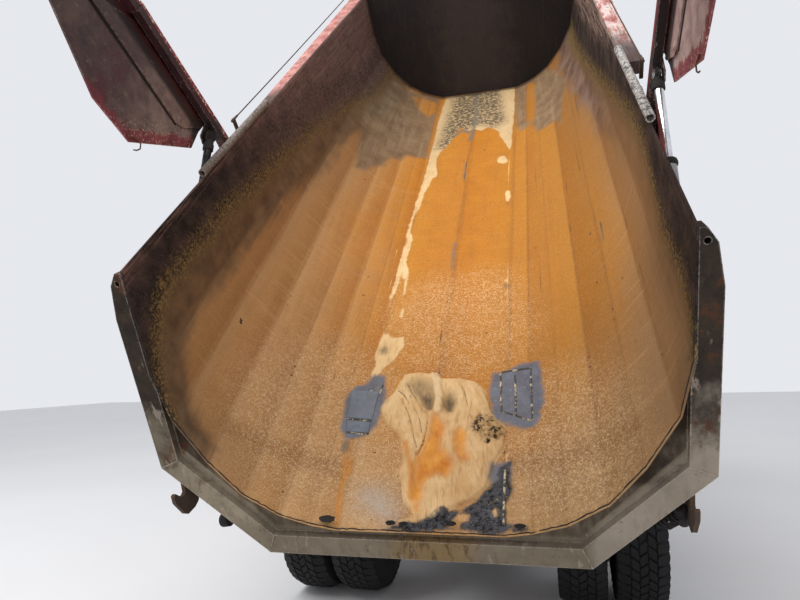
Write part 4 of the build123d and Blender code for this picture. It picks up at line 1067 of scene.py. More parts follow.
def gate_finish(name):
    # Dark plum-brown faces with cream chips; old red in a band along the lower edges and on the inner end;
    # painted shadow under the arm's bar and round the rod's eye.
    # slant, low, inner and deep are distances from the lower slanting edge, the lowest edge and the ends.
    m = Finish(name, 0.0, 0.7)
    c = m.coords(GATE)
    x, y, up = m.split(c)
    big = m.noise(c, 3.0, 5, 0.6)
    mid = m.noise(c, 12, 7, 0.65)
    fine = m.noise(c, 75, 5, 0.7)
    brown = m.shade(mid, (62, 44, 46), (96, 76, 74))
    brown = m.mix(m.step(big, 0.50, 0.7, 0.0, 0.6), brown, (122, 104, 96))
    brown = m.mix(m.step(y, 0.80, 1.30, 0.0, 0.8), brown, m.shade(mid, (114, 94, 88), (154, 132, 122)))
    brown = m.mix(m.step(fine, 0.58, 0.68, 0.0, 0.3), brown, (150, 128, 118))
    plum = m.step(m.plus(big, m.centred(fine, 0.3)), 0.42, 0.34, 0.0, 0.75)
    brown = m.mix(plum, brown, (92, 42, 48))
    dirt = m.shade(mid, (150, 118, 116), (186, 162, 156))
    m.color = m.mix(m.step(x, 0.3, 0.6, 0.0, 0.8), brown, dirt)
    cream = m.step(m.noise(c, 20, 6, 0.75), 0.58, 0.64)
    m.lay(m.times(cream, m.step(x, 0.3, 0.6, 0.12, 0.7)), (190, 174, 146))
    red = m.shade(mid, (104, 38, 46), (146, 66, 74))
    slant = m.plus(m.times(y, -0.682), m.times(up, 0.731), 0.334, m.centred(mid, 0.09))
    m.lay(m.step(slant, 0.072, 0.052), red)
    low = m.plus(up, m.centred(mid, 0.2))
    m.lay(m.step(low, 0.60, 0.57), red)
    inner = m.plus(y, m.centred(mid, 0.1))
    m.lay(m.step(inner, 1.40, 1.44), (112, 18, 28))
    # Painted shadow under the arm's bar: near black on dark red
    deep = m.plus(up, m.centred(mid, 0.04))
    shadow_under_bar = m.mix(m.step(x, -0.3, 0.3), m.mix(m.step(up, 1.04, 1.10), (30, 18, 19), (80, 22, 28)),
                     (28, 20, 19))
    m.lay(m.step(deep, 0.995, 1.03, 0.0, 0.92), shadow_under_bar)
    worn_red = m.mix(m.step(m.noise(c, 42, 6, 0.75), 0.50, 0.57), (132, 40, 44), (214, 176, 160))
    worn_red = m.mix(m.step(y, 1.58, 1.72, 0.0, 0.85), worn_red, m.mix(fine, (88, 62, 48), (160, 128, 104)))
    # Painted shade on the bar's lower part, darker red, on both sides
    bar_shadow_red = m.shade(mid, (34, 16, 18), (72, 24, 30))
    worn_red = m.mix(m.step(up, 1.140, 1.150), bar_shadow_red, worn_red)
    bar = m.mix(m.step(x, -0.3, 0.3), worn_red, m.mix(m.step(up, 1.12, 1.15), (36, 22, 22), (116, 26, 34)))
    m.lay(m.step(up, 1.0985, 1.1005), bar)
    border = m.times(m.step(slant, 0.17, 0.05), m.step(fine, 0.56, 0.62))
    m.lay(m.times(border, 0.75), (200, 184, 160))
    chips = m.step(m.noise(c, 34, 6, 0.7), 0.65, 0.69)
    m.lay(m.times(chips, 0.6), (186, 170, 152))
    # Dark round the rod's eye: soot and painted shadow
    away = [m.math("ABSOLUTE", m.minus(q, middle)) for q, middle in ((y, 1.52), (up, 1.03))]
    reach = m.plus(*away, m.centred(mid, 0.16))
    soot_and_shadow = m.step(reach, 0.2, 0.13, 0.0, 0.92)
    m.lay(soot_and_shadow, m.mix(m.step(fine, 0.4, 0.7), (20, 17, 16), (58, 48, 44)))
    worn = m.times(m.edge(0.007), m.step(fine, 0.42, 0.58))
    m.lay(worn, m.mix(m.step(mid, 0.4, 0.6), (150, 84, 70), (212, 190, 166)))
    return m.done(m.step(mid, 0.2, 0.8, 0.5, 0.8), m.bump(m.plus(fine, mid), 0.0015, 0.6))


def rails_finish():
    # Faded pink-red rails with black crumbs, and the grey-white worn tubes laid on them.
    m = Finish("top_rails", 0.0, 0.75)
    c = m.coords(BED)
    x, y, up = m.split(c)
    mid = m.noise(c, 9, 7, 0.7)
    fine = m.noise(c, 80, 5, 0.75)
    drawn = m.noise(c, (50, 4, 50), 5, 0.65)
    pink = m.mix(m.step(mid, 0.35, 0.65), (150, 74, 66), (206, 146, 136))
    pale_rail = m.times(m.step(x, 0.2, 0.6), m.step(m.noise(c, (30, 5, 30), 5), 0.42, 0.56))
    pink = m.mix(m.times(pale_rail, 0.7), pink, (220, 208, 200))
    pink = m.mix(m.step(drawn, 0.5, 0.64, 0.0, 0.7), pink, (140, 124, 112))
    pink = m.mix(m.step(y, 2.9, 1.3, 0.0, 0.75), pink, m.mix(fine, (70, 56, 46), (128, 110, 92)))
    tube = m.mix(m.step(fine, 0.36, 0.58), (70, 62, 56), (188, 182, 176))
    tube = m.mix(m.step(m.noise(c, 36, 5, 0.75), 0.54, 0.58, 0.0, 0.85), tube, (34, 28, 26))
    tube = m.mix(m.step(x, -0.2, -0.6, 0.0, 0.75), tube, m.mix(fine, (72, 60, 50), (126, 108, 92)))
    m.color = m.mix(m.step(up, 1.342, 1.348), pink, tube)
    specks = m.step(m.noise(c, 46, 5, 0.75), 0.57, 0.61)
    m.lay(m.times(specks, 0.85), (40, 32, 30))
    worn = m.times(m.edge(0.008), m.step(fine, 0.4, 0.6))
    m.lay(m.times(worn, 0.8), (190, 172, 146))
    ends = m.times(m.step(m.plus(y, m.times(mid, 0.3)), 3.1, 2.6), m.step(up, 1.346, 1.338))
    m.lay(m.times(ends, 0.9), m.mix(fine, (26, 20, 19), (66, 48, 42)))
    return m.done(m.step(mid, 0.2, 0.8, 0.65, 0.95), m.bump(m.plus(fine, mid), 0.003, 0.8))


# Building shapes

CHASSIS = Matrix.Translation((0, ORIGIN_SHIFT, 0))


class Build:
    # Collects bevelled shapes in one mesh, in metres, in the frame given to piece().

    def __init__(self, bm=None):
        self.bm = bm or bmesh.new()

    def _bevel(self, verts, amount, least=0.6, clamp=True):
        # Rounds the edges that turn by more than the least angle.
        if amount <= 0:
            return
        edges = {e for v in verts for e in v.link_edges if len(e.link_faces) == 2}
        sharp = [e for e in edges if e.calc_face_angle(0) > least]
        bmesh.ops.bevel(self.bm, geom=sharp, offset=amount, segments=2, profile=0.5, affect="EDGES",
                        clamp_overlap=clamp)

    def box(self, x0, x1, y0, y1, z0, z1, bevel=0.004, turn=None):
        made = bmesh.ops.create_cube(self.bm, size=1)["verts"]
        size = Matrix.Diagonal((abs(x1 - x0), abs(y1 - y0), abs(z1 - z0), 1))
        middle = Matrix.Translation(((x0 + x1) / 2, (y0 + y1) / 2, (z0 + z1) / 2))
        bmesh.ops.transform(self.bm, matrix=middle @ (turn or Matrix()) @ size, verts=made)
        self._bevel(made, bevel)

    def prism(self, points, axis, a, b, bevel=0.003):
        # points lie in the plane across the axis: YZ for x, XZ for y, XY for z.
        def place(p, h):
            return {"x": (h, p[0], p[1]), "y": (p[0], h, p[1]), "z": (p[0], p[1], h)}[axis]

        self.slab([place(p, a) for p in points], [place(p, b) for p in points], bevel)

    def slab(self, low, high, bevel=0.002):
        # A plate between two matching rings of points.
        low = [self.bm.verts.new(p) for p in low]
        high = [self.bm.verts.new(p) for p in high]
        n = len(low)
        faces = [self.bm.faces.new(low), self.bm.faces.new(list(reversed(high)))]
        for i in range(n):
            j = (i + 1) % n
            faces.append(self.bm.faces.new((low[j], low[i], high[i], high[j])))
        bmesh.ops.recalc_face_normals(self.bm, faces=faces)
        self._bevel(low + high, bevel)

    def rod(self, p, q, radius, sides=16, bevel=0.0):
        p, q = Vector(p), Vector(q)
        d = q - p
        made = bmesh.ops.create_cone(self.bm, cap_ends=True, segments=sides, radius1=radius, radius2=radius,
                                     depth=d.length)["verts"]
        turn = d.to_track_quat("Z", "Y").to_matrix().to_4x4()
        bmesh.ops.transform(self.bm, matrix=Matrix.Translation((p + q) / 2) @ turn, verts=made)
        self._bevel(made, bevel, 1.0, False)

    def _walls(self, rings, closed, rings_closed):
        # Faces between neighbouring rings of points; closed joins the last ring to the first.
        faces = []
        n = len(rings[0])
        for a, b in zip(rings, rings[1:] + rings[:1] if closed else rings[1:]):
            for i in range(n if rings_closed else n - 1):
                j = (i + 1) % n
                faces.append(self.bm.faces.new((a[i], a[j], b[j], b[i])))
        return faces

    def turned(self, profile, place=None, steps=48, closed=False):
        # A profile of (along X, radius) turned about X.
        rings = [[self.bm.verts.new((x, r * c, r * s)) for x, r in profile] for c, s in circle(steps)]
        faces = self._walls(rings, True, closed)
        bmesh.ops.recalc_face_normals(self.bm, faces=faces)
        if place is not None:
            bmesh.ops.transform(self.bm, matrix=place, verts=[v for ring in rings for v in ring])

    def tube(self, points, radius, sides=10, closed=False):
        pts = [Vector(p) for p in points]
        n = len(pts)
        rings = []
        normal = None
        for i, p in enumerate(pts):
            before = pts[i - 1] if closed or i else p
            after = pts[(i + 1) % n] if closed or i < n - 1 else p
            d = (after - before).normalized()
            if normal is None:
                normal = d.orthogonal().normalized()
            normal = (normal - d * normal.dot(d)).normalized()
            side = d.cross(normal)
            rings.append([self.bm.verts.new(p + radius * (c * normal + s * side)) for c, s in circle(sides)])
        faces = self._walls(rings, closed, True)
        if not closed:
            faces += [self.bm.faces.new(rings[0]), self.bm.faces.new(rings[-1])]
        bmesh.ops.recalc_face_normals(self.bm, faces=faces)

    def bolts(self, places, axis, radius=0.012, height=0.01):
        d = Vector(axis)
        for p in places:
            self.rod(Vector(p) - d * 0.002, Vector(p) + d * height, radius, 6, 0.0015)

    def lump(self, at, detail, shape):
        # A ball whose points are moved by shape, from their direction, and then set at a place.
        for v in bmesh.ops.create_icosphere(self.bm, subdivisions=detail, radius=1)["verts"]:
            v.co = shape(v.co.normalized()) + at

    def piece(self, name, body, material, slot, place=CHASSIS, replaces=(), mirror=False, angle=0.6):
        mesh = bpy.data.meshes.new(name)
        if mirror:
            made = bmesh.ops.duplicate(self.bm,
                                       geom=self.bm.verts[:] + self.bm.edges[:] + self.bm.faces[:])["geom"]
            for v in (g for g in made if isinstance(g, bmesh.types.BMVert)):
                v.co.x = -v.co.x
            bmesh.ops.reverse_faces(self.bm, faces=[g for g in made if isinstance(g, bmesh.types.BMFace)])
        self.bm.to_mesh(mesh)
        self.bm.free()
        mesh.transform(place)
        mesh.shade_smooth()
        mesh.set_sharp_from_angle(angle=angle)
        mesh.materials.append(material)
        obj = placed(name, mesh)
        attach(obj, body)
        if replaces:
            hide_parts(*replaces)
        return obj


# Wheels

TYRE_R = 0.525
RIM_R = 0.285
AXLE_Z = TYRE_R
AXLES = {"rear": 1.570, "middle": 2.950, "front": 6.750}
TWIN_X = (0.740, 1.090)
FRONT_X = 1.040
TREAD_DEPTH = 0.014
PITCHES = 46
WHEEL_NUTS = 10
NUT_CIRCLE = 0.167
# Washer, nut and stud: from and to along the axle, radius, sides, bevel
NUT = [(0.004, 0.016, 0.021, 14, 0.002), (0.014, 0.038, 0.0165, 6, 0.002), (0.034, 0.050, 0.010, 10, 0.001)]


def tyre_shape(build, x):
    half = 0.150
    profile = [(-0.098, RIM_R - 0.004), (-0.108, RIM_R + 0.006), (-0.116, RIM_R + 0.022),
               (-0.122, RIM_R + 0.024), (-0.136, RIM_R + 0.060), (-half + 0.003, 0.385), (-half, 0.410),
               (-half + 0.001, 0.440), (-half + 0.004, 0.452), (-half + 0.002, 0.456),
               (-half + 0.005, 0.474), (-half + 0.014, 0.494), (-0.118, TYRE_R - TREAD_DEPTH - 0.004),
               (-0.06, TYRE_R - TREAD_DEPTH + 0.001), (0.0, TYRE_R - TREAD_DEPTH + 0.002)]
    profile += [(-a, r) for a, r in reversed(profile[:-1])]
    build.turned([(x + a, r) for a, r in profile], steps=92)
    rows = [
        # inner edge, outer edge, phase, slant
        (-0.146, -0.078, 0.0, 0.10),
        (-0.070, -0.028, 0.5, 0.22),
        (-0.021, 0.021, 0.0, -0.22),
        (0.028, 0.070, 0.5, 0.22),
        (0.078, 0.146, 0.0, -0.10),
    ]
    bm = build.bm
    pitch = 2 * math.pi / PITCHES
    for x0, x1, phase, slant in rows:
        for k in range(PITCHES):
            rings = []
            for inset, drop in ((0.0, TREAD_DEPTH + 0.004), (0.0, 0.003), (0.003, 0.0)):
                ring = []
                for i, s in ((0, 0), (1, 0), (2, 0), (2, 1), (1, 1), (0, 1)):
                    across = x0 + inset if s == 0 else x1 - inset
                    wave = (0.10 if i == 1 else 0.0) * (1 if s else -1)
                    turn = (k + phase + 0.09 + 0.41 * i + slant * (s - 0.5) * 2) * pitch
                    turn += (inset / TYRE_R) * (1 - i)
                    crown = TYRE_R - drop - 0.010 * max(0.0, (abs(across) - 0.09) / 0.056) ** 2 * 3
                    xx = x + across + wave * 0.03
                    ring.append(bm.verts.new((xx, crown * math.cos(turn), crown * math.sin(turn))))
                rings.append(ring)
            faces = []
            for low, high in zip(rings[:-1], rings[1:]):
                for i in range(6):
                    j = (i + 1) % 6
                    faces.append(bm.faces.new((low[i], low[j], high[j], high[i])))
            top = rings[-1]
            faces.append(bm.faces.new((top[0], top[1], top[4], top[5])))
            faces.append(bm.faces.new((top[1], top[2], top[3], top[4])))
            bmesh.ops.recalc_face_normals(bm, faces=faces)


def holed_disc(x, thickness, outer, inner, hole, hole_at, count):
    # A flat wheel disc with hand holes, cut as a filled outline.
    curve = bpy.data.curves.new("disc", "CURVE")
    curve.dimensions = "2D"
    curve.fill_mode = "BOTH"
    curve.extrude = thickness / 2 - 0.002
    curve.bevel_depth = 0.002
    circles = [(0, 0, outer, 72), (0, 0, inner, 48)]
    circles += [(hole_at * c, hole_at * s, hole, 20) for c, s in circle(count, 0.5)]
    for cx, cy, r, steps in circles:
        spline = curve.splines.new("POLY")
        spline.points.add(steps - 1)
        for point, (c, s) in zip(spline.points, circle(steps)):
            point.co = (cx + r * c, cy + r * s, 0, 1)
        spline.use_cyclic_u = True
    obj = placed("disc", curve)
    mesh = solid_mesh(obj)
    bpy.data.objects.remove(obj)
    mesh.transform(Matrix.Translation((x, 0, 0)) @ Matrix.Rotation(math.radians(90), 4, "Y"))
    return mesh


def rim_shape(build, x, dish, hub_out, lip_only=False):
    r = RIM_R
    barrel = [(x - 0.105, r), (x - 0.112, r + 0.012), (x - 0.106, r + 0.014), (x - 0.098, r - 0.002),
              (x - 0.06, r - 0.008), (x, r - 0.016), (x + 0.06, r - 0.008), (x + 0.098, r - 0.002),
              (x + 0.106, r + 0.014), (x + 0.112, r + 0.012), (x + 0.105, r - 0.008), (x + 0.06, r - 0.016),
              (x, r - 0.024), (x - 0.06, r - 0.016), (x - 0.105, r - 0.008)]
    build.turned(barrel, steps=64, closed=True)
    build.bm.from_mesh(holed_disc(dish, 0.012, r - 0.022, 0.118, 0.027, 0.222, WHEEL_NUTS))
    build.turned([(dish + 0.002, r - 0.03), (dish + 0.012, r - 0.024), (dish - 0.004, r - 0.022)], steps=64)
    if lip_only:
        return
    hub = [(dish, 0.128), (dish + 0.03, 0.126), (dish + 0.034, 0.120), (hub_out - 0.05, 0.112),
           (hub_out - 0.02, 0.106), (hub_out - 0.008, 0.094), (hub_out, 0.078), (hub_out + 0.002, 0.0)]
    build.turned(hub, steps=40)
    for c, s in circle(WHEEL_NUTS):
        y, z = NUT_CIRCLE * c, NUT_CIRCLE * s
        for a, b, radius, sides, bevel in NUT:
            build.rod((dish + a, y, z), (dish + b, y, z), radius, sides, bevel)
    for c, s in circle(WHEEL_NUTS, 0.5):
        build.rod((hub_out - 0.012, 0.088 * c, 0.088 * s), (hub_out, 0.088 * c, 0.088 * s), 0.006, 6, 0.001)


def wheels(tyre_mat, rim_mat):
    for axle, y in AXLES.items():
        front = axle == "front"
        tyres, rims = Build(), Build()
        if front:
            tyre_shape(tyres, FRONT_X)
            rim_shape(rims, FRONT_X, FRONT_X + 0.046, FRONT_X + 0.110)
        else:
            for x in TWIN_X:
                tyre_shape(tyres, x)
            rim_shape(rims, TWIN_X[1], 0.911, TWIN_X[1] + 0.060)
            rim_shape(rims, TWIN_X[0], 0.899, 0, lip_only=True)
        names = ("tyre", "rim") if front else ("tyres", "rims")
        for side in ("right", "left"):
            flip = Matrix.Rotation(math.pi if side == "left" else 0, 4, "Z")
            place = Matrix.Translation((0, y + ORIGIN_SHIFT, AXLE_Z)) @ flip
            for kind, build, material, slot in ((names[0], tyres, tyre_mat, "tyre"),
                                                (names[1], rims, rim_mat, "rim")):
                copy = Build(build.bm.copy())
                copy.piece(f"{axle}_{kind}_dressed_{side}", f"{axle}_wheel_{side}", material, slot, place,
                           (f"{axle}_{kind}_{side}",), angle=0.5)


# Tailgate and bed details

CHEEK_FACE = 1.2555
FOLD_GAP = 0.008
FOLD_THICK = 0.003
GATE_ROD_EYE = (1.720, 1.460)
GATE_CYL_BASE = (0.450, 0.720)
GATE_CYL_X = 1.203
GATE_BARREL = 0.995
# Weld seams across the panel: height along it, half length
GATE_SEAMS = [
    (0.015, 0.72), (0.105, 0.78), (0.375, 1.06), (0.465, 1.07), (0.755, 1.19), (0.845, 1.19), (1.105, 1.19),
    (1.195, 1.19),
]
# Left cheek in the photograph: the folded plate's free edge, and the wire hook below
FOLD_EDGE = [(93, 0), (177, 124)]
FOLD_FOOT = [(184, 128), (201, 128)]
FOLD_BOLT = (180, 121)
WIRE_HOOK = [(131, 137), (137, 141), (140, 144), (139.5, 149), (136, 150.5), (133, 150)]
# A round buffer under the left corner of the rear frame
BUFFER = (223, 520)
# Lumps of black dirt on the lip: pixel, size
LIP_LUMPS = [((325, 526), 0.022), ((389, 530), 0.014), ((402, 531), 0.012), ((450, 531), 0.014),
             ((520, 534), 0.014)]
# The dark spring link beside the right latch hook: ends and radius of each rod
LATCH_LINK = [((657, 521), (682, 512), 0.018), ((679, 506), (684, 522), 0.026),
              ((668, 527), (681, 520), 0.014)]


def on_side(pixel, x, place):
    # Where the pixel's ray meets the upright plane at x, in the frame of place.
    ray = pixel_ray(pixel)
    hit = CAMERA_AT + ray * ((x - CAMERA_AT.x) / ray.x)
    return place.inverted() @ hit


def along(p, d):
    # A place at p that turns the X axis of a turned profile to d.
    return Matrix.Translation(p) @ d.to_track_quat("X", "Z").to_matrix().to_4x4()


def gate_dressing(brown, steel, soot):
    edge = [on_side(q, -CHEEK_FACE + FOLD_GAP, GATE) for q in FOLD_EDGE]
    foot = [on_side(q, -CHEEK_FACE + FOLD_GAP, GATE) for q in FOLD_FOOT]
    high = edge[0] + (edge[0] - edge[1]) * 0.09
    outline = [(high.y, min(1.09, high.z)), (edge[1].y, edge[1].z), (foot[0].y, foot[0].z),
               (foot[1].y, foot[1].z)]
    outline += [(foot[1].y + 0.01, 1.098), (0.80, 1.098)]
    build = Build()
    x0, x1 = CHEEK_FACE - FOLD_GAP, CHEEK_FACE
    build.prism(outline, "x", x0 - FOLD_THICK, x0, 0.001)
    (ya, za), (yb, zb) = outline[:2]
    build.prism([(ya, za), (yb, zb), (yb + 0.006, zb + 0.004), (ya + 0.006, za + 0.004)], "x", x0, x1, 0.001)
    bolt = on_side(FOLD_BOLT, -x0, GATE)
    build.bolts([(x0 - 0.0045, bolt.y, bolt.z)], (-1, 0, 0), 0.014, 0.004)
    build.rod((x0 - 0.003, bolt.y, bolt.z), (x0 - 0.0045, bolt.y, bolt.z), 0.022, 20, 0.0005)
    for k in range(7):
        y = 0.80 + 0.11 * k
        build.rod((CHEEK_FACE - 0.012, y, 1.159), (CHEEK_FACE - 0.012, y + 0.05, 1.1595), 0.005, 8)
    build.piece("gate_folds", "tailgate", brown, "gate_brown", GATE, mirror=True)
    # A black strip on the cheek along the folded plate's edge: painted shadow in the gap
    fold_shadow = Build()
    d = Vector((0, yb - ya, zb - za)).normalized()
    n = (d.z, -d.y) if d.y > 0 else (-d.z, d.y)
    strip = [(ya, za), (yb, zb), (yb + n[0] * 0.012, zb + n[1] * 0.012),
             (ya + n[0] * 0.018, za + n[1] * 0.018)]
    fold_shadow.prism(strip, "x", x1 - 0.0035, x1 - 0.0005, 0.0)
    fold_shadow.piece("gate_fold_shadows", "tailgate", soot, "gate_brown", GATE, mirror=True)
    hooks = Build()
    spots = [on_side(q, -CHEEK_FACE, GATE) for q in WIRE_HOOK]
    hooks.tube([(CHEEK_FACE - 0.004, s.y, s.z) for s in spots], 0.0035, 8)
    hooks.piece("gate_wire_hooks", "tailgate", steel, "gate_brown", GATE, mirror=True)
    # Stiffener seams across the panel's outer face
    seams = Build()
    lean = Matrix.Rotation(-REAR_LEAN, 4, "X")
    for s, half in GATE_SEAMS:
        line = [Vector((x, -0.0165, s)) for x in np.linspace(-half, half, 80)]
        seams.tube([lean @ q for q in wobbly(line, 40, 0.0015)], 0.005, 6)
    seams.piece("gate_seams", "tailgate", brown, "gate_brown", GATE)


def rod_dressing(soot):
    # Clevis round each tailgate rod's eye in a dark lump, partly soot and partly painted shadow, and the
    # gland ring on each barrel.
    base, eye = Vector((0, *GATE_CYL_BASE)), Vector((0, *GATE_ROD_EYE))
    d = (eye - base).normalized()
    for side, name in ((-1, "left"), (1, "right")):
        x = Vector((side * GATE_CYL_X, 0, 0))
        clevis = Build()

        # The dark lump's shape: soot and painted shadow round the eye
        def soot_and_shadow(n):
            k = 0.036 + 0.012 * noise.noise(n * 2.3 + Vector((side, 0, 0))) + 0.006 * noise.noise(n * 7)
            return Vector((n.x * 0.020, n.y * k, n.z * k))

        clevis.lump(x + eye - d * 0.012, 4, soot_and_shadow)
        for r, a, b in ((0.026, 0.03, 0.06), (0.030, 0.055, 0.092)):
            clevis.rod(x + eye - d * a, x + eye - d * b, r, 24, 0.002)
        clevis.piece(f"gate_clevis_{name}", f"gate_rod_{name}", soot, "gate_brown", BED)
        gland = Build()
        for r, a, b in ((0.0375, -0.034, -0.002), (0.040, -0.026, -0.012), (0.0365, -0.985 + 0.03, -0.93)):
            ring = [(a, 0.030), (a, r - 0.002), (a + 0.002, r), (b - 0.002, r), (b, r - 0.002), (b, 0.030)]
            gland.turned(ring, along(x + base + d * GATE_BARREL, d), 36)
        p = x + base + d * 0.90
        up = d.cross(Vector((1, 0, 0))).normalized()
        for back in (0.0, 0.72):
            gland.rod(p - d * back + up * 0.030, p - d * back + up * 0.052, 0.012, 6, 0.001)
        hose = ((0.048, 0.0), (0.054, 0.03), (0.050, 0.3), (0.050, 0.6), (0.048, 0.72))
        gland.tube([p + up * rise - d * back for rise, back in hose], 0.006, 8)
        gland.piece(f"gate_gland_{name}", f"gate_cylinder_{name}", soot, "hoist_steel", BED)


# Chassis details

RAIL_OUT, RAIL_TOP = 0.400, 0.960
DRIVE_AXLES = (AXLES["rear"], AXLES["middle"])
MUDGUARD_R = 0.600
FRONT_SPRING = [
    # y, bottom, top
    (6.05, 0.655, 0.690), (6.40, 0.610, 0.665), (6.75, 0.580, 0.650), (7.10, 0.610, 0.665),
    (7.45, 0.655, 0.690),
]
BOGIE_SPRING = [
    (1.47, 0.600, 0.640), (1.67, 0.600, 0.680), (1.95, 0.640, 0.733), (2.26, 0.655, 0.760),
    (2.57, 0.640, 0.733), (2.85, 0.600, 0.680), (3.05, 0.600, 0.640),
]


def about_y(x, y, z):
    # A place that turns the X axis of a turned profile to +Y.
    return Matrix.Translation((x, y, z)) @ Matrix.Rotation(math.radians(90), 4, "Z")


def leaves(build, rows, x0, x1, count):
    # The spring's leaves, each a curved strip with a dark gap under it.
    ys = np.linspace(rows[0][0], rows[-1][0], 25)
    low = np.interp(ys, [r[0] for r in rows], [r[1] for r in rows])
    high = np.interp(ys, [r[0] for r in rows], [r[2] for r in rows])
    for k in range(count):
        a = low + (high - low) * k / count + 0.0025
        b = low + (high - low) * (k + 1) / count
        outline = [(y, z) for y, z in zip(ys, a)] + [(y, z) for y, z in zip(ys[::-1], b[::-1])]
        build.prism(outline, "x", x0, x1, 0.0)


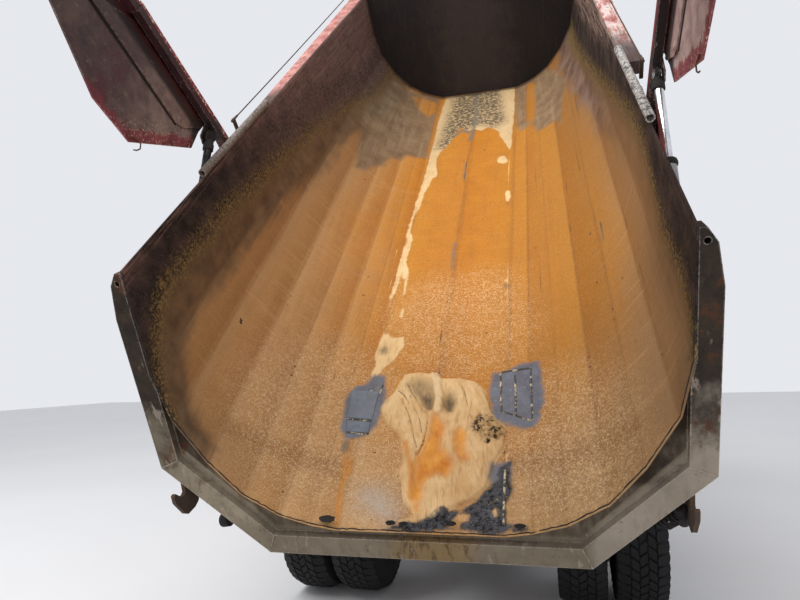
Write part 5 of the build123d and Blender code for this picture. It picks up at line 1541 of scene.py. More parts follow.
def chassis_dressing(black, steel):
    rails = Build()

    def rows(x, ys, sides, heights):
        rails.bolts([(x, y + dy, z) for y in ys for dy in sides for z in heights], (1, 0, 0), 0.011, 0.009)

    rows(RAIL_OUT, (0.72, 2.26, 3.94, 4.94, 5.95, 6.43, 7.75), (-0.03, 0.03), (0.735, 0.82, 0.90))
    rows(RAIL_OUT, DRIVE_AXLES, (-0.05, 0.05), (0.735, 0.81))
    for y in (1.90, 3.42, 4.70, 5.66):
        rails.box(RAIL_OUT, RAIL_OUT + 0.009, y, y + 0.16, 0.80, 1.09, 0.003)
        rows(RAIL_OUT + 0.009, (y,), (0.04, 0.12), (0.84, 0.90, 1.02, 1.06))
    # Weld beads where the subframe rests, and two pipes with clips between the rails
    for x in (RAIL_OUT - 0.001, 0.321):
        line = [Vector((x, y, RAIL_TOP)) for y in np.arange(0.76, 5.98, 0.05)]
        rails.tube(wobbly(line, 30, 0.001), 0.005, 6)
    for x in (0.23, 0.26):
        rails.tube([(x, 1.0, 0.950), (x, 2.2, 0.949), (x, 4.0, 0.950), (x, 5.7, 0.950)], 0.008, 10)
    for y in (1.55, 2.93, 3.93, 4.93):
        rails.box(0.212, 0.278, y, y + 0.03, 0.940, 0.961, 0.002)
    rails.piece("rail_details", "chassis", black, "frame_black", mirror=True)

    springs = Build()
    leaves(springs, FRONT_SPRING, 0.317, 0.403, 4)
    leaves(springs, BOGIE_SPRING, 0.427, 0.523, 8)
    for y, x0, x1, z0, z1 in ((6.75, 0.308, 0.412, 0.455, 0.672), (2.26, 0.418, 0.532, 0.60, 0.785)):
        reach = 0.075 if y > 3 else 0.10
        for dy in (-reach, reach):
            bow = [(x0, y + dy, z0), (x0, y + dy, z1 - 0.012), (x0 + 0.012, y + dy, z1),
                   (x1 - 0.012, y + dy, z1), (x1, y + dy, z1 - 0.012), (x1, y + dy, z0)]
            springs.tube(bow, 0.009, 10)
            springs.bolts([(x0, y + dy, z0 + 0.028), (x1, y + dy, z0 + 0.028)], (0, 0, -1), 0.016, 0.016)
        springs.box(x0 + 0.004, x1 - 0.004, y - reach - 0.03, y + reach + 0.03, z1 - 0.026, z1 - 0.010,
                    0.003)
    for y in (6.05, 7.45):
        springs.rod((0.310, y, 0.672), (0.410, y, 0.672), 0.030, 24, 0.003)
        springs.prism([(y - 0.05, 0.72), (y + 0.05, 0.72), (y + 0.028, 0.66), (y - 0.028, 0.66)], "x",
                      0.404, 0.416)
    springs.piece("spring_leaves", "chassis", black, "frame_black", mirror=True)

    axles = Build()
    for y in DRIVE_AXLES:
        flange = [(-0.012, 0.15), (-0.012, 0.207), (0.012, 0.207), (0.012, 0.15)]
        axles.turned(flange, about_y(0, y, AXLE_Z), 48, closed=True)
        axles.bolts([(0.196 * c, y - 0.012, AXLE_Z + 0.196 * s) for c, s in circle(14)], (0, -1, 0), 0.010,
                    0.009)
        cover = [(-0.215, 0.0), (-0.212, 0.06), (-0.195, 0.10), (-0.15, 0.150), (-0.12, 0.168)]
        axles.turned(cover, about_y(0, y, AXLE_Z), 40)
        axles.rod((0, y - 0.222, AXLE_Z - 0.03), (0, y - 0.208, AXLE_Z - 0.03), 0.020, 6, 0.002)
        for side in (-1, 1):
            axles.rod((side * 0.60, y, AXLE_Z), (side * 0.612, y, AXLE_Z), 0.205, 48, 0.003)
            axles.rod((side * 0.565, y, AXLE_Z), (side * 0.60, y, AXLE_Z), 0.12, 32, 0.006)
            chamber = [(-0.245, 0.0), (-0.243, 0.055), (-0.23, 0.068), (-0.17, 0.070), (-0.166, 0.078),
                       (-0.156, 0.078), (-0.152, 0.068), (-0.10, 0.064), (-0.085, 0.050), (-0.080, 0.0)]
            axles.turned(chamber, about_y(side * 0.495, y, 0.490), 32)
            axles.rod((side * 0.495, y - 0.09, 0.49), (side * 0.495, y - 0.01, 0.49), 0.012, 12)
            axles.box(side * 0.465, side * 0.525, y - 0.085, y - 0.070, 0.46, 0.56, 0.003)
            hose = [(side * 0.495, y - 0.16, 0.562), (side * 0.47, y - 0.19, 0.60),
                    (side * 0.43, y - 0.20, 0.66), (side * 0.41, y - 0.17, 0.73)]
            axles.tube(hose, 0.009, 10)
    axles.piece("axle_details", "chassis", black, "frame_black")

    lamps = Build()
    lamps.box(0.440, 0.740, 0.540, 0.549, 0.606, 0.699, 0.003)
    lamps.box(0.10, 0.30, 0.552, 0.561, 0.610, 0.628, 0.002)
    lamps.piece("lamp_bezels", "chassis", F["trim_plastic"], "trim_plastic", mirror=True)
    for name, x0, x1, color in (("red", 0.632, 0.730, (150, 16, 18)),
                                ("amber", 0.546, 0.626, (216, 112, 14)),
                                ("clear", 0.450, 0.540, (196, 196, 190))):
        glow = Build()
        glow.box(x0, x1, 0.531, 0.542, 0.616, 0.689, 0.004)
        glow.piece(f"rear_lens_{name}", "chassis", lens(f"lens_{name}", color), "glass", mirror=True)
    plate = Build()
    plate.box(-0.26, 0.26, 0.551, 0.559, 0.634, 0.694, 0.002)
    plate.bolts([(-0.22, 0.551, 0.664), (0.22, 0.551, 0.664)], (0, -1, 0), 0.006, 0.004)
    plate.box(-0.26, 0.26, 8.198, 8.207, 0.800, 0.912, 0.003)
    plate.bolts([(-0.22, 8.207, 0.856), (0.22, 8.207, 0.856)], (0, 1, 0), 0.007, 0.005)
    white = paint("plate_white", (206, 206, 200), (150, 150, 146), chips=0.1, rough=0.4, blotch=0.05)
    plate.piece("blank_plates", "chassis", white, "trim_plastic")
    seams = Build()
    for y, low, high in zip(DRIVE_AXLES, (20, 30), (150, 160)):
        guard = [(y + MUDGUARD_R * c, AXLE_Z + MUDGUARD_R * s - 0.002) for c, s in arc(low, high, 24)]
        for x in (0.590, 0.76, 0.80, 1.03, 1.07, 1.240):
            seams.tube([(x, *p) for p in guard], 0.006 if 0.6 < x < 1.2 else 0.009, 8)
        spots = [(x, y + dy, AXLE_Z + MUDGUARD_R) for x in (0.66, 1.16) for dy in (-0.05, 0.05)]
        seams.bolts(spots, (0, 0, 1), 0.012, 0.008)
    seams.piece("mudguard_ribs", "chassis", F["trim_plastic"], "trim_plastic", mirror=True)

    tank = Build()

    def rounded(x0, x1, z0, z1, r):
        corners = ((x1 - r, z1 - r, 0), (x0 + r, z1 - r, 90), (x0 + r, z0 + r, 180), (x1 - r, z0 + r, 270))
        return [(cx + r * c, cz + r * s) for cx, cz, start in corners for c, s in arc(start, start + 90, 8)]

    for y0, y1, grow in ((4.500, 4.580, 0.004), (5.370, 5.450, 0.004), (4.298, 4.322, 0.006),
                         (5.628, 5.652, 0.006)):
        ring = rounded(-1.150 - grow, -0.470 + grow, 0.480 - grow, 1.080 + grow, 0.060 + grow)
        tank.prism(ring, "y", y0, y1, 0.002)
    tank.rod((-1.02, 5.10, 1.075), (-1.02, 5.10, 1.098), 0.062, 32, 0.003)
    tank.rod((-1.02, 5.10, 1.095), (-1.02, 5.10, 1.128), 0.050, 12, 0.005)
    tank.rod((-0.70, 4.90, 1.078), (-0.70, 4.90, 1.092), 0.040, 24, 0.002)
    tank.box(-1.12, -0.52, 5.34, 5.36, 1.076, 1.086, 0.002)
    tank.bolts([(-1.154, y, 0.78) for y in (4.54, 5.41)], (-1, 0, 0), 0.012, 0.012)
    tank.piece("tank_straps", "chassis", F["tank_metal"], "tank_metal")

    box = Build()
    box.prism(rounded(0.464, 1.136, 0.955, 1.012, 0.026), "y", 4.893, 5.657, 0.004)
    for y in (5.05, 5.28, 5.50):
        box.box(1.128, 1.137, y - 0.02, y + 0.02, 0.70, 0.965, 0.003)
        box.rod((1.135, y, 0.70), (1.150, y, 0.70), 0.016, 16, 0.002)
    for z in (0.58, 0.64, 0.82, 0.88):
        box.box(1.126, 1.134, 4.95, 5.60, z - 0.006, z + 0.006, 0.002)
    for x in (0.60, 0.80, 1.00):
        box.box(x - 0.02, x + 0.02, 4.94, 5.61, 1.010, 1.018, 0.003)
    box.piece("battery_lid", "chassis", F["trim_plastic"], "trim_plastic")

    air = Build()
    for x in (0.640, 0.930):
        for y, d in ((3.75, -1), (4.75, 1)):
            dome = [(0.028 * d, 0.0), (0.026 * d, 0.04), (0.018 * d, 0.085), (0.0, 0.120),
                    (-0.006 * d, 0.131), (-0.016 * d, 0.132), (-0.020 * d, 0.130)]
            air.turned(dome, about_y(x, y, 0.790), 40)
            air.rod((x, y, 0.790), (x, y + 0.05 * d, 0.790), 0.014, 6, 0.002)
        for y in (3.87, 4.62):
            air.turned([(-0.02, 0.130), (-0.019, 0.134), (0.019, 0.134), (0.02, 0.130)],
                       about_y(x, y, 0.790), 40)
            air.rod((x, y, 0.915), (x, y, 0.950), 0.010, 6, 0.001)
        air.rod((x, 4.25, 0.665), (x, 4.25, 0.640), 0.012, 6, 0.001)
    air.tube([(0.64, 3.70, 0.79), (0.64, 3.66, 0.79), (0.68, 3.64, 0.80), (0.89, 3.64, 0.80),
              (0.93, 3.66, 0.79), (0.93, 3.70, 0.79)], 0.008, 10)
    air.piece("vessel_ends", "chassis", F["tank_metal"], "tank_metal")

    stack = Build()
    upright = Matrix.Translation((0.850, 6.180, 0)) @ Matrix.Rotation(math.radians(-90), 4, "Y")
    for z0, z1, r in ((1.146, 1.172, 0.143), (1.928, 1.954, 0.143), (2.10, 2.125, 0.080),
                      (2.60, 2.625, 0.080)):
        stack.turned([(z0, r - 0.02), (z0, r), (z1, r), (z1, r - 0.02)], upright, 48, closed=True)
    for k in range(17):
        z = 1.21 + k * 0.041
        stack.turned([(z, 0.1395), (z + 0.006, 0.1445), (z + 0.018, 0.1445), (z + 0.024, 0.1395)], upright,
                     48)
    stack.turned([(2.896, 0.075), (2.897, 0.079), (2.902, 0.079), (2.903, 0.070), (2.80, 0.069)], upright,
                 40)
    stack.tube([(0.85, 6.255, 2.08), (0.85, 6.30, 2.08), (0.85, 6.345, 2.08)], 0.014, 10)
    stack.piece("stack_rings", "chassis", steel, "hoist_steel")


HOIST_EYE = (BED_LENGTH + 0.390, 1.200)
HOIST_RADII = {"hoist_barrel": 0.115, "hoist_stage_1": 0.099, "hoist_stage_2": 0.083, "hoist_stage_3": 0.067}


def hoist_dressing(steel):
    base = Vector((0, 5.850 + ORIGIN_SHIFT, 0.950))
    eye = BED @ Vector((0, *HOIST_EYE))
    d = (eye - base).normalized()
    place = along(base, d)
    lowered = Vector((0, HINGE_Y + HOIST_EYE[0] - HINGE_FWD + ORIGIN_SHIFT,
                      HINGE_Z + HOIST_EYE[1] - HINGE_UP))
    stroke = ((eye - base).length - (lowered - base).length) / 3
    for i, (body, r) in enumerate(HOIST_RADII.items()):
        build = Build()
        top = 1.440 + i * (stroke + 0.022)
        if i == 0:
            ring = [(top - 0.09, r - 0.002), (top - 0.088, r + 0.012), (top - 0.012, r + 0.012),
                    (top - 0.002, r + 0.004), (top, r), (top, r - 0.013)]
            build.turned(ring, place, 48)
            for c, s in circle(8):
                p, q = [place @ Vector((top - 0.05, out * c, out * s)) for out in (r + 0.010, r + 0.020)]
                build.rod(p, q, 0.009, 6, 0.001)
            foot = [(-0.185, 0.0), (-0.184, 0.10), (-0.176, r + 0.004), (-0.140, r + 0.006), (-0.130, r)]
            build.turned(foot, place, 48)
            build.rod(place @ Vector((-0.10, 0, -r)), place @ Vector((-0.10, 0, -r - 0.045)), 0.024, 6,
                      0.002)
        elif i < 3:
            collar = [(top - 0.016, r), (top - 0.014, r + 0.007), (top - 0.002, r + 0.007), (top, r),
                      (top, r - 0.013)]
            build.turned(collar, place, 48)
        else:
            neck = [(top - 0.02, r), (top - 0.002, r + 0.002), (top + 0.012, r - 0.004), (top + 0.03, 0.047),
                    (top + 0.05, 0.0405)]
            build.turned(neck, place, 48)
            for side in (-1, 1):
                build.rod(eye + Vector((side * 0.052, 0, 0)), eye + Vector((side * 0.058, 0, 0)), 0.050, 32,
                          0.002)
        build.piece(f"{body}_rings", body, steel, "hoist_steel", Matrix())


def bed_dressing(red, steel, soot):
    # Weld beads of the bearers and longitudinals, and of the ribs on the bulkhead
    build = Build()
    for x in (0.318, 0.402):
        for y0 in np.arange(0.25, 5.0, 0.30):
            line = [Vector((x, y0 + 0.022 * k, -0.012 + 0.002 * math.sin(9 * k))) for k in range(9)]
            build.tube(line, 0.006, 6)
    for i in range(6):
        y = 0.9 + i * (BED_LENGTH - 1.110) / 5
        for dy in (-0.004, 0.064):
            path = [(0.30, -0.104), (0.40, -0.100), (0.62, -0.060), (0.74, 0.16), (0.86, 0.380)]
            line = [p for a, b in zip(path[:-1], path[1:]) for p in toward(a, b, 4)]
            build.tube([(x, y + dy, u) for x, u in line], 0.005, 6)
    build.piece("underframe_welds", "bed", red, "bed_red", BED, mirror=True)
    front = Build()
    for x, low in ((0.700, 0.330), (0.300, 0.150)):
        for dx in (-0.042, 0.042):
            line = [Vector((x + dx, BED_LENGTH + 0.010, z)) for z in np.arange(low + 0.02, 1.30, 0.03)]
            front.tube(wobbly(line, 40, 0.0015), 0.006, 6)
    for x in (0.12, 0.50, 0.88):
        front.bolts([(x, BED_LENGTH + 0.068, 1.28)], (0, 1, 0), 0.014, 0.011)
    for x0, x1, radius, sides, bevel in ((0.060, 0.098, 0.052, 32, 0.003), (0.098, 0.108, 0.030, 6, 0.002)):
        front.rod((x0, *HOIST_EYE), (x1, *HOIST_EYE), radius, sides, bevel)
    front.piece("bulkhead_welds", "bed", red, "bed_red", BED, mirror=True)
    # Seams at the corners of the rear frame, pin keepers on the pivots, the buffer under the left corner
    lean = Matrix.Rotation(-REAR_LEAN, 4, "X")
    seams = Build()
    for a, b in (((0.767, 0.004), (0.726, 0.104)), ((1.246, 0.486), (1.146, 0.527))):
        line = [lean @ Vector((x, -0.001, s)) for x, s in toward(a, b, 10) + [b]]
        seams.tube(wobbly(line, 50, 0.001), 0.0035, 6)
    seams.piece("frame_seams", "bed", F["bed_worn_grey"], "bed_worn_grey", BED, mirror=True)
    pins = Build()
    pins.rod((1.256, 1.900, 1.100), (1.270, 1.900, 1.100), 0.040, 28, 0.003)
    pins.box(1.256, 1.264, 1.84, 1.96, 1.045, 1.062, 0.002)
    pins.bolts([(1.264, 1.86, 1.053), (1.264, 1.94, 1.053)], (1, 0, 0), 0.009, 0.007)
    pins.piece("pivot_keepers", "tailgate", steel, "rusty_steel", GATE, mirror=True)
    lip = Build()

    def behind(pixel, fwd):
        # Where the pixel's ray meets the bed's cross section at that distance forward.
        ray = pixel_ray(pixel)
        normal = BED.to_3x3() @ Vector((0, 1, 0))
        start = BED @ Vector((0, fwd, 0))
        hit = CAMERA_AT + ray * ((start - CAMERA_AT).dot(normal) / ray.dot(normal))
        return BED.inverted() @ hit

    spot = behind(BUFFER, 0.16)
    lip.rod(spot, spot + Vector((0.05, 0.0, 0.012)), 0.036, 28, 0.006)
    lip.rod(spot + Vector((0.04, 0, 0.01)), spot + Vector((0.16, 0.03, 0.05)), 0.020, 16, 0.002)
    links = [(behind(start, 0.15), behind(end, 0.15), radius) for start, end, radius in LATCH_LINK]
    for a, b, radius in links:
        lip.rod(a, b, radius, 16, 0.003)
    a, b, _ = links[0]
    coil = []
    d = (b - a).normalized()
    u = d.cross(Vector((0, 1, 0))).normalized()
    w = d.cross(u)
    for k in range(73):
        turn = 2 * math.pi * k / 12
        coil.append(a + (b - a) * (k / 72) + (u * math.cos(turn) + w * math.sin(turn)) * 0.026)
    lip.tube(coil, 0.005, 6)
    lip.piece("frame_buffer", "bed", soot, "trim_plastic", BED)
    # Black dirt along the lip, where the floor's skin meets the rear frame
    dirt = Build()
    rear = BedSkin.profile(0)
    for a, b in zip(rear[:-1], rear[1:]):
        line = toward(a, b, max(2, int(math.dist(a, b) / 0.02))) + [b]
        line = [Vector((x, z * math.tan(REAR_LEAN) + 0.006, z)) for x, z in line]
        dirt.tube(wobbly(line, 45, 0.0045), 0.003, 7)
    for pixel, size in LIP_LUMPS:
        at = behind(pixel, 0.05) + Vector((0, 0.036, 0))

        def clod(n):
            k = size * (1 + 0.35 * noise.noise(n * 2.5 + at * 9))
            return Vector((n.x * k * 1.7, n.y * k * 0.8, n.z * k * 0.55))

        dirt.lump(at, 3, clod)
    dirt.piece("lip_dirt", "bed", soot, "bed_worn_grey", BED)


# Cab details

DOOR_WINDOW = [(7.030, 1.860), (7.030, 2.620), (7.510, 2.640), (7.570, 2.580), (7.730, 1.860)]
REAR_SIDE_WINDOW = [(6.480, 1.950), (6.480, 2.600), (6.820, 2.620), (6.820, 1.950)]
CAB_HALF = 1.150
# Heights of the two creases along the cab's sides
CREASES = (1.30, 1.345)
LAMP = (0.800, 8.166, 0.745)
ORANGE = (214, 108, 12)


def loop(points, r):
    # The closed outline with its corners rounded off by r.
    out = []
    n = len(points)
    for i in range(n):
        p, a, b = (Vector(points[j]) for j in (i, (i - 1) % n, (i + 1) % n))
        u = p + (a - p).normalized() * r
        v = p + (b - p).normalized() * r
        for t in np.linspace(0, 1, 6):
            out.append((1 - t) ** 2 * u + 2 * t * (1 - t) * p + t ** 2 * v)
    return out


def screen_y(z):
    return 8.090 - 0.210 * (z - 1.900) / 0.860


def cab_dressing(paint_red, plastic, black):
    seals = Build()
    corners = ((-1.01, 1.95), (1.01, 1.95), (0.96, 2.66), (-0.96, 2.66))
    frame_points = [(x, screen_y(z) - 0.002, z) for x, z in corners]
    seals.tube(loop(frame_points, 0.07), 0.014, 10, closed=True)
    rear_points = [(x, 6.348, z) for x, z in ((-0.42, 2.05), (0.42, 2.05), (0.42, 2.50), (-0.42, 2.50))]
    seals.tube(loop(rear_points, 0.04), 0.011, 8, closed=True)
    for side in (-1, 1):
        ring = [(side * (CAB_HALF + 0.001), y, z) for y, z in REAR_SIDE_WINDOW]
        seals.tube(loop(ring, 0.03), 0.011, 8, closed=True)
    for x in (-0.62, 0.10):
        y = screen_y(1.905)
        seals.rod((x, y - 0.004, 1.905), (x, y + 0.022, 1.905), 0.022, 16, 0.003)
        a = Vector((x, y + 0.014, 1.905))
        b = Vector((x + 0.42, screen_y(2.045) + 0.016, 2.045))
        seals.tube([a, a.lerp(b, 0.5) + Vector((0, 0.004, 0)), b], 0.007, 8)
        low, high = [Vector((x + dx, screen_y(z) + 0.004, z)) for dx, z in ((0.12, 1.995), (0.70, 2.095))]
        blade = [low, high, high + Vector((0, 0.012, 0)), low + Vector((0, 0.012, 0))]
        seals.slab(blade, [p + Vector((-0.004, -0.004, 0.022)) for p in blade], 0.002)
    visor = [(7.870, 2.795), (7.868, 2.812), (8.052, 2.742), (8.062, 2.722)]
    seals.prism(visor, "x", -1.02, 1.02, 0.003)
    for x in (-0.99, -0.35, 0.35, 0.99):
        seals.prism([(7.80, 2.802), (7.80, 2.822), (7.93, 2.792), (7.93, 2.772)], "x", x - 0.012, x + 0.012,
                    0.002)
    for k in range(65):
        x = -0.80 + 0.025 * k
        seals.rod((x, 8.133, 1.185), (x, 8.133, 1.585), 0.003, 6)
    for z in (1.22, 1.33, 1.44, 1.55):
        seals.rod((-0.82, 8.150, z), (0.82, 8.150, z), 0.006, 8)
    for z in (0.575, 0.63, 0.685):
        seals.box(-0.56, 0.56, 8.197, 8.206, z - 0.014, z + 0.014, 0.004)
    seals.piece("cab_seals", "chassis", plastic, "trim_plastic")

    body = Build()
    for z0, z1, half in ((1.13, 1.168, 0.93), (1.61, 1.875, 0.98)):
        y0, y1 = 8.131, (8.131 if z0 < 1.5 else 8.097)
        body.tube(loop([(-half, y0, z0), (half, y0, z0), (half, y1, z1), (-half, y1, z1)], 0.03), 0.004, 6,
                  closed=True)
    body.prism([(8.128, 1.03), (8.140, 1.05), (8.140, 1.10), (8.128, 1.12)], "x", -1.1, 1.1, 0.004)
    for side in (-1, 1):
        for z in CREASES:
            body.tube([(side * 1.153, y, z) for y in (6.37, 6.60, 6.80, 6.93)], 0.006, 8)
        body.box(side * 1.148, side * 1.158, 6.40, 6.86, 1.42, 1.80, 0.006)
    body.piece("cab_pressings", "chassis", paint_red, "cab_paint")

    grips = Build()
    for side in (-1, 1):
        x, y, z0, z1 = side * CAB_HALF, 6.885, 1.45, 2.15
        out = side * 0.038
        grips.tube([(x, y, z0), (x + out * 0.7, y, z0 + 0.008), (x + out, y, z0 + 0.04),
                    (x + out, y, z1 - 0.04), (x + out * 0.7, y, z1 - 0.008), (x, y, z1)], 0.013, 12)
        for z in (z0, z1):
            grips.rod((x, y, z), (x + side * 0.008, y, z), 0.030, 20, 0.002)
        for z in (0.600, 0.870):
            for i in range(5):
                for j in range(7):
                    a, b = side * (0.89 + 0.06 * i), 7.485 + 0.057 * j
                    turn = Matrix.Rotation(math.radians(45 if (i + j) % 2 else -45), 4, "Z")
                    grips.box(a - 0.014, a + 0.014, b - 0.004, b + 0.004, z - 0.001, z + 0.004, 0.0, turn)
        arch = [(side * 1.188, AXLES["front"] + 0.628 * c, AXLE_Z + 0.596 * s) for c, s in arc(25, 155, 24)]
        grips.tube(arch, 0.010, 8)
    grips.piece("cab_grips", "chassis", black, "frame_black")

    shine = Build()
    bowl = [(0.0, 0.0), (0.003, 0.04), (0.012, 0.075), (0.020, 0.088), (0.024, 0.092), (0.020, 0.097),
            (0.0, 0.098)]
    shine.turned(bowl, about_y(*LAMP), 40)
    shine.box(1.242, 1.408, 7.803, 7.812, 1.925, 2.395, 0.003)
    mirror = bare_metal("mirror_glass", (206, 210, 214), 0.08, (120, 122, 122), 0.04)
    shine.piece("lamp_bowls", "chassis", mirror, "glass", mirror=True)
    dome = Build()
    dome.turned([(0.030, 0.0), (0.028, 0.045), (0.022, 0.075), (0.016, 0.088)], about_y(*LAMP), 40)
    dome.piece("head_lens", "chassis", glass("head_lens", (200, 206, 210), 0.5), "glass", mirror=True)
    turn_lens = Build()
    turn_lens.box(0.925, 1.045, 8.166, 8.186, 0.665, 0.825, 0.006)
    turn_lens.piece("turn_lens", "chassis", lens("turn_lens", ORANGE), "glass", mirror=True)
    roof = Build()
    for x in (-0.62, 0.0, 0.62):
        outline = [(7.60, 2.845), (7.61, 2.875), (7.66, 2.880), (7.71, 2.852), (7.71, 2.832)]
        roof.prism(outline, "x", x - 0.055, x + 0.055, 0.006)
    roof.piece("roof_lamps", "chassis", lens("roof_amber", ORANGE), "glass")

    inside = Build()
    inside.prism([(7.60, 1.86), (7.62, 1.95), (7.70, 1.985), (7.80, 1.93), (7.80, 1.87)], "x", -0.80, -0.32,
                 0.010)
    for x in (-0.67, -0.47):
        inside.rod((x, 7.604, 1.905), (x, 7.596, 1.905), 0.052, 32, 0.003)
    inside.rod((-0.56, 7.462, 1.852), (-0.56, 7.448, 1.874), 0.070, 32, 0.008)
    inside.box(-0.26, 0.30, 7.628, 7.645, 1.66, 1.83, 0.006)
    for k in range(6):
        inside.box(-0.22 + 0.08 * k, -0.17 + 0.08 * k, 7.618, 7.632, 1.70, 1.73, 0.003)
    for x in (-0.95, 0.45, 0.90):
        for z in (1.70, 1.72, 1.74, 1.76, 1.78):
            inside.box(x - 0.07, x + 0.07, 7.622, 7.640, z - 0.004, z + 0.004, 0.002)
    inside.box(-0.16, 0.16, 6.85, 7.45, 1.172, 1.36, 0.02)
    inside.rod((0.02, 7.35, 1.35), (-0.02, 7.40, 1.62), 0.010, 10)
    inside.rod((-0.02, 7.40, 1.60), (-0.025, 7.406, 1.66), 0.028, 20, 0.010)
    for x in (-0.66, -0.56, -0.44):
        inside.box(x - 0.035, x + 0.035, 7.70, 7.72, 1.24, 1.33, 0.006, Matrix.Rotation(0.5, 4, "X"))
    inside.piece("dash_details", "chassis", plastic, "trim_plastic")

    for side, name in ((-1, "left"), (1, "right")):
        trim = Build()
        ring = [(side * (CAB_HALF + 0.001), y, z) for y, z in DOOR_WINDOW]
        trim.tube(loop(ring, 0.03), 0.012, 8, closed=True)
        x = side * (CAB_HALF + 0.018)
        for y in (6.985, 7.118):
            trim.box(side * CAB_HALF, x, y, y + 0.017, 1.692, 1.748, 0.004)
        trim.rod((x - side * 0.004, 7.160, 1.72), (x, 7.160, 1.72), 0.014, 20, 0.001)
        trim.tube([(side * 1.080, 7.10, 1.62), (side * 1.055, 7.14, 1.62), (side * 1.055, 7.46, 1.64),
                   (side * 1.080, 7.50, 1.64)], 0.016, 10)
        trim.box(side * 1.098, side * 1.112, 6.98, 7.76, 1.24, 1.80, 0.010)
        trim.piece(f"door_trim_{name}", f"door_{name}", plastic, "trim_plastic")
        panel = Build()
        for z in CREASES:
            panel.tube([(side * (CAB_HALF + 0.001), y, z) for y in (6.99, 7.3, 7.6, 7.76)], 0.006, 8)
        panel.piece(f"door_pressings_{name}", f"door_{name}", paint_red, "cab_paint")


# Seats: pads blown up by cloth simulation, on plain pedestals

PAD_VOXEL = 0.009
CLOTH_FRAMES = 20
SEAT_X = 0.560
BOLSTER_SEAM = 0.155
# name, outline in the side view (y, z), half width, how far the cloth may move, depth of the sewn channels
PADS = [
    ("cushion", [(6.825, 1.450), (7.325, 1.450), (7.335, 1.475), (7.325, 1.540), (6.830, 1.535)], 0.246,
     0.014, 0.007),
    ("back", [(6.835, 1.560), (6.930, 1.560), (6.925, 1.70), (6.742, 2.262), (6.660, 2.245), (6.79, 1.72)],
     0.236, 0.016, 0.007),
    ("head", [(6.655, 2.305), (6.722, 2.312), (6.698, 2.465), (6.638, 2.457)], 0.126, 0.012, 0.0),
]


def read(mesh, key):
    # The vertices' places or normals, one row each.
    values = np.empty(len(mesh.vertices) * 3)
    mesh.vertices.foreach_get(key, values)
    return values.reshape(-1, 3)


def write(mesh, points):
    mesh.vertices.foreach_set("co", points.reshape(-1))
    mesh.update()


def puffed(obj, limit):
    # Cloth under pressure from inside; no point may move more than the limit.
    rest = read(obj.data, "co")
    cloth = obj.modifiers.new("cloth", "CLOTH")
    settings = cloth.settings
    settings.quality = 5
    settings.mass = 0.3
    settings.use_pressure = True
    settings.uniform_pressure_force = 4
    settings.effector_weights.gravity = 0
    cloth.point_cache.frame_start = 1
    cloth.point_cache.frame_end = CLOTH_FRAMES
    for step in range(1, CLOTH_FRAMES + 1):
        bpy.context.scene.frame_set(step)
    shift = read(evaluated(obj).data, "co") - rest
    obj.modifiers.remove(cloth)
    bpy.context.scene.frame_set(1)
    length = np.linalg.norm(shift, axis=1)
    shift *= np.minimum(1.0, limit / np.maximum(length, 1e-9))[:, None]
    write(obj.data, rest + shift)


def seats(cloth_material, plastic):
    finished = []
    for x, name in ((-SEAT_X, "left"), (SEAT_X, "right")):
        stand = Build()
        stand.prism([(6.84, 1.172), (7.32, 1.172), (7.30, 1.24), (7.26, 1.27), (7.26, 1.41), (7.31, 1.432),
                     (6.83, 1.432), (6.88, 1.41), (6.88, 1.27), (6.85, 1.24)], "x", x - 0.225, x + 0.225,
                    0.008)
        for k in range(6):
            z = 1.275 + 0.024 * k
            stand.box(x - 0.215, x + 0.215, 6.872, 7.268, z, z + 0.010, 0.004)
        stand.rod((x - 0.245, 6.86, 1.50), (x + 0.245, 6.86, 1.50), 0.030, 24, 0.004)
        for side in (-1, 1):
            stand.box(x + side * 0.250, x + side * 0.262, 6.83, 7.02, 1.44, 1.58, 0.008)
            stand.rod((x + side * 0.05, 6.690, 2.24), (x + side * 0.05, 6.688, 2.34), 0.007, 10)
        stand.piece(f"seat_stand_{name}", "chassis", plastic, "trim_plastic", replaces=("seats",))
        for kind, outline, half, limit, groove in PADS:
            pad_name = f"seat_{kind}_{name}"
            if x > 0:
                mesh = finished[-len(PADS)].data.copy()
                mesh.transform(Matrix.Translation((2 * SEAT_X, 0, 0)))
                pad = placed(pad_name, mesh)
                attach(pad, "chassis")
            else:
                build = Build()
                build.prism(outline, "x", x - half, x + half, 0.024)
                pad = build.piece(pad_name, "chassis", cloth_material, "seat_fabric")
                remesh = pad.modifiers.new("even", "REMESH")
                remesh.mode = "VOXEL"
                remesh.voxel_size = PAD_VOXEL
                even = solid_mesh(pad)
                pad.modifiers.clear()
                pad.data = even
                puffed(pad, limit)
                sew(pad, x, groove, kind)
                even.materials.clear()
                even.materials.append(cloth_material)
                even.shade_smooth()
            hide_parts("seats")
            finished.append(pad)


def sew(pad, x, groove, kind):
    # Sewn channels: two lengthwise at the bolsters and some across between them.
    points = read(pad.data, "co")
    across = np.abs(points[:, 0] - x)
    along_pad = points[:, 1 if kind == "cushion" else 2]
    lines = np.exp(-((across - BOLSTER_SEAM) / 0.007) ** 2)
    middle = np.clip((BOLSTER_SEAM - across) / 0.02, 0, 1)
    for place in ((3.68, 3.80, 3.92) if kind == "cushion" else (1.72, 1.86, 2.00, 2.14)):
        lines = np.maximum(lines, middle * np.exp(-((along_pad - place) / 0.007) ** 2))
    write(pad.data, points - read(pad.data, "normal") * (lines * groove)[:, None])


# Tarp cables: one taut steel rope along each side of the bed

CABLE_THICK = 0.008
CABLE = [(1.180, 2.000, 1.430), (1.150, 2.790, 1.424), (1.120, 3.580, 1.421), (1.090, 4.370, 1.420),
         (1.060, 5.160, 1.420)]


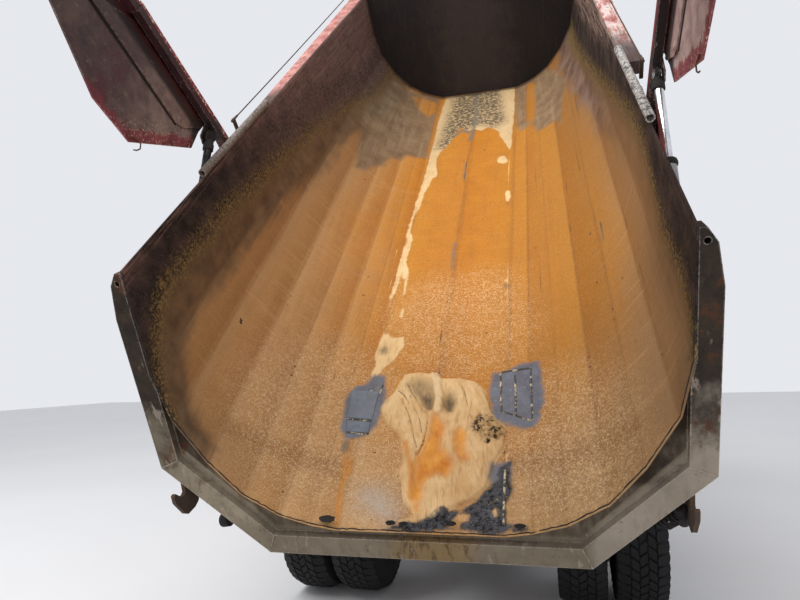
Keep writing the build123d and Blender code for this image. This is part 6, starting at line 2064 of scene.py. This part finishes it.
def tarp_cables(steel):
    brackets = Build()
    brackets.box(1.166, 1.186, 1.994, 2.012, 1.335, 1.440, 0.003)
    brackets.box(1.046, 1.068, BED_LENGTH - 0.024, BED_LENGTH - 0.004, 1.322, 1.430, 0.003)
    brackets.rod((1.180, 1.984, 1.430), (1.180, 2.030, 1.430), 0.009, 6, 0.001)
    brackets.rod((1.1795, 2.03, 1.4299), (1.178, 2.07, 1.4298), 0.0065, 12, 0.001)
    brackets.piece("cable_brackets", "bed", steel, "rusty_steel", BED, replaces=("tarp_cables",),
                   mirror=True)
    for side, name in ((-1, "left"), (1, "right")):
        curve = bpy.data.curves.new(f"tarp_cable_{name}", "CURVE")
        curve.dimensions = "3D"
        curve.bevel_depth = CABLE_THICK / 2
        curve.bevel_resolution = 2
        curve.resolution_u = 8
        spline = curve.splines.new("NURBS")
        points = [BED @ Vector((side * p[0], p[1], p[2])) for p in CABLE]
        spline.points.add(len(points) - 1)
        for point, p in zip(spline.points, points):
            point.co = (*p, 1)
        spline.order_u = 3
        spline.use_endpoint_u = True
        curve.use_fill_caps = True
        curve.materials.append(steel)
        obj = placed(f"tarp_cable_{name}", curve)
        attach(obj, "bed")
        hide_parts("tarp_cables")


camera()
stage()
lights()

F = {
    "frame_black": paint("frame_black", (44, 44, 46), (86, 62, 46), chips=0.3, dusty=0.35, grime=0.5,
                         low=1.1),
    "tank_metal": bare_metal("tank_metal", (190, 190, 192), 0.38, (120, 112, 100), 0.25),
    "cab_paint": paint("cab_paint", (150, 30, 30), (92, 70, 60), chips=0.12, grime=0.5, low=1.6, rough=0.35,
                       blotch=0.1, streaks=0.12),
    "glass": glass("glass"),
    "trim_plastic": paint("trim_plastic", (42, 42, 44), (60, 60, 60), chips=0.05, dusty=0.3, rough=0.6,
                          blotch=0.12),
    "seat_fabric": fabric("seat_fabric"),
    "bed_dark": bulkhead_finish(),
    "bed_worn_grey": rear_frame_finish(),
    "bed_red": paint("bed_red", (150, 62, 54), (120, 96, 80), (160, 130, 112), chips=0.45, dusty=0.4,
                     place=BED, edge=0.008, rough=0.6, streaks=0.45),
    "rusty_steel": paint("rusty_steel", (60, 45, 35), (132, 92, 50), (104, 84, 62), chips=0.5, rough=0.8,
                         place=BED),
    "gate_brown": gate_finish("gate_brown"),
    "gate_red": gate_finish("gate_red"),
    "hoist_steel": bare_metal("hoist_steel", (150, 148, 146), 0.32, (56, 50, 44), 0.35),
    "chrome_rod": bare_metal("chrome_rod", (225, 227, 230), 0.16, (150, 140, 128), 0.08),
    "patch_steel": paint("patch_steel", (104, 112, 124), (44, 42, 44), (176, 176, 172), chips=0.5,
                         dusty=0.45, rough=0.7, place=BED),
    "tyre": rubber("tyre"),
    "rim": paint("rim", (150, 148, 146), (110, 74, 50), chips=0.3, dusty=0.3, grime=0.3, rough=0.5),
}
tarp_cables(F["rusty_steel"])
inside = bed_inside_finish()
skin = bed_shell(inside, F["bed_red"])
putty_relief(skin, inside)
bead = paint("weld_bead", (70, 66, 64), (216, 198, 160), (130, 120, 108), chips=1.6, dusty=0.5, rough=0.75,
             edge=0.002)
floor_plates(skin, F["patch_steel"], bead)
wheels(F["tyre"], F["rim"])
soot = paint("soot", (26, 22, 20), (70, 58, 50), (84, 74, 64), chips=0.5, dusty=0.35, rough=0.9, edge=0.002)
# Dark rod steel for the left tailgate rod only: partly grease, partly painted shade
dark_left_rod = bare_metal("dark_left_rod_steel", (66, 64, 62), 0.35, (24, 21, 19), 0.9)
gate_dressing(F["gate_brown"], F["rusty_steel"], soot)
rod_dressing(soot)
chassis_dressing(F["frame_black"], F["hoist_steel"])
hoist_dressing(F["hoist_steel"])
bed_dressing(F["bed_red"], F["rusty_steel"], soot)
cab_dressing(F["cab_paint"], F["trim_plastic"], F["frame_black"])
seats(F["seat_fabric"], F["trim_plastic"])

for name, obj in nodes.items():
    slot = obj.data.materials[0].name.split(".")[0] if obj.data.materials else "frame_black"
    mat = F.get(slot, F["frame_black"])
    if name == "top_rails":
        mat = rails_finish()
    # The left rod gets the dark rod steel: grease and painted shade
    if name == "gate_rod_left":
        mat = dark_left_rod
    obj.data.materials.clear()
    obj.data.materials.append(mat)

bpy.context.scene.view_settings.view_transform = "Standard"
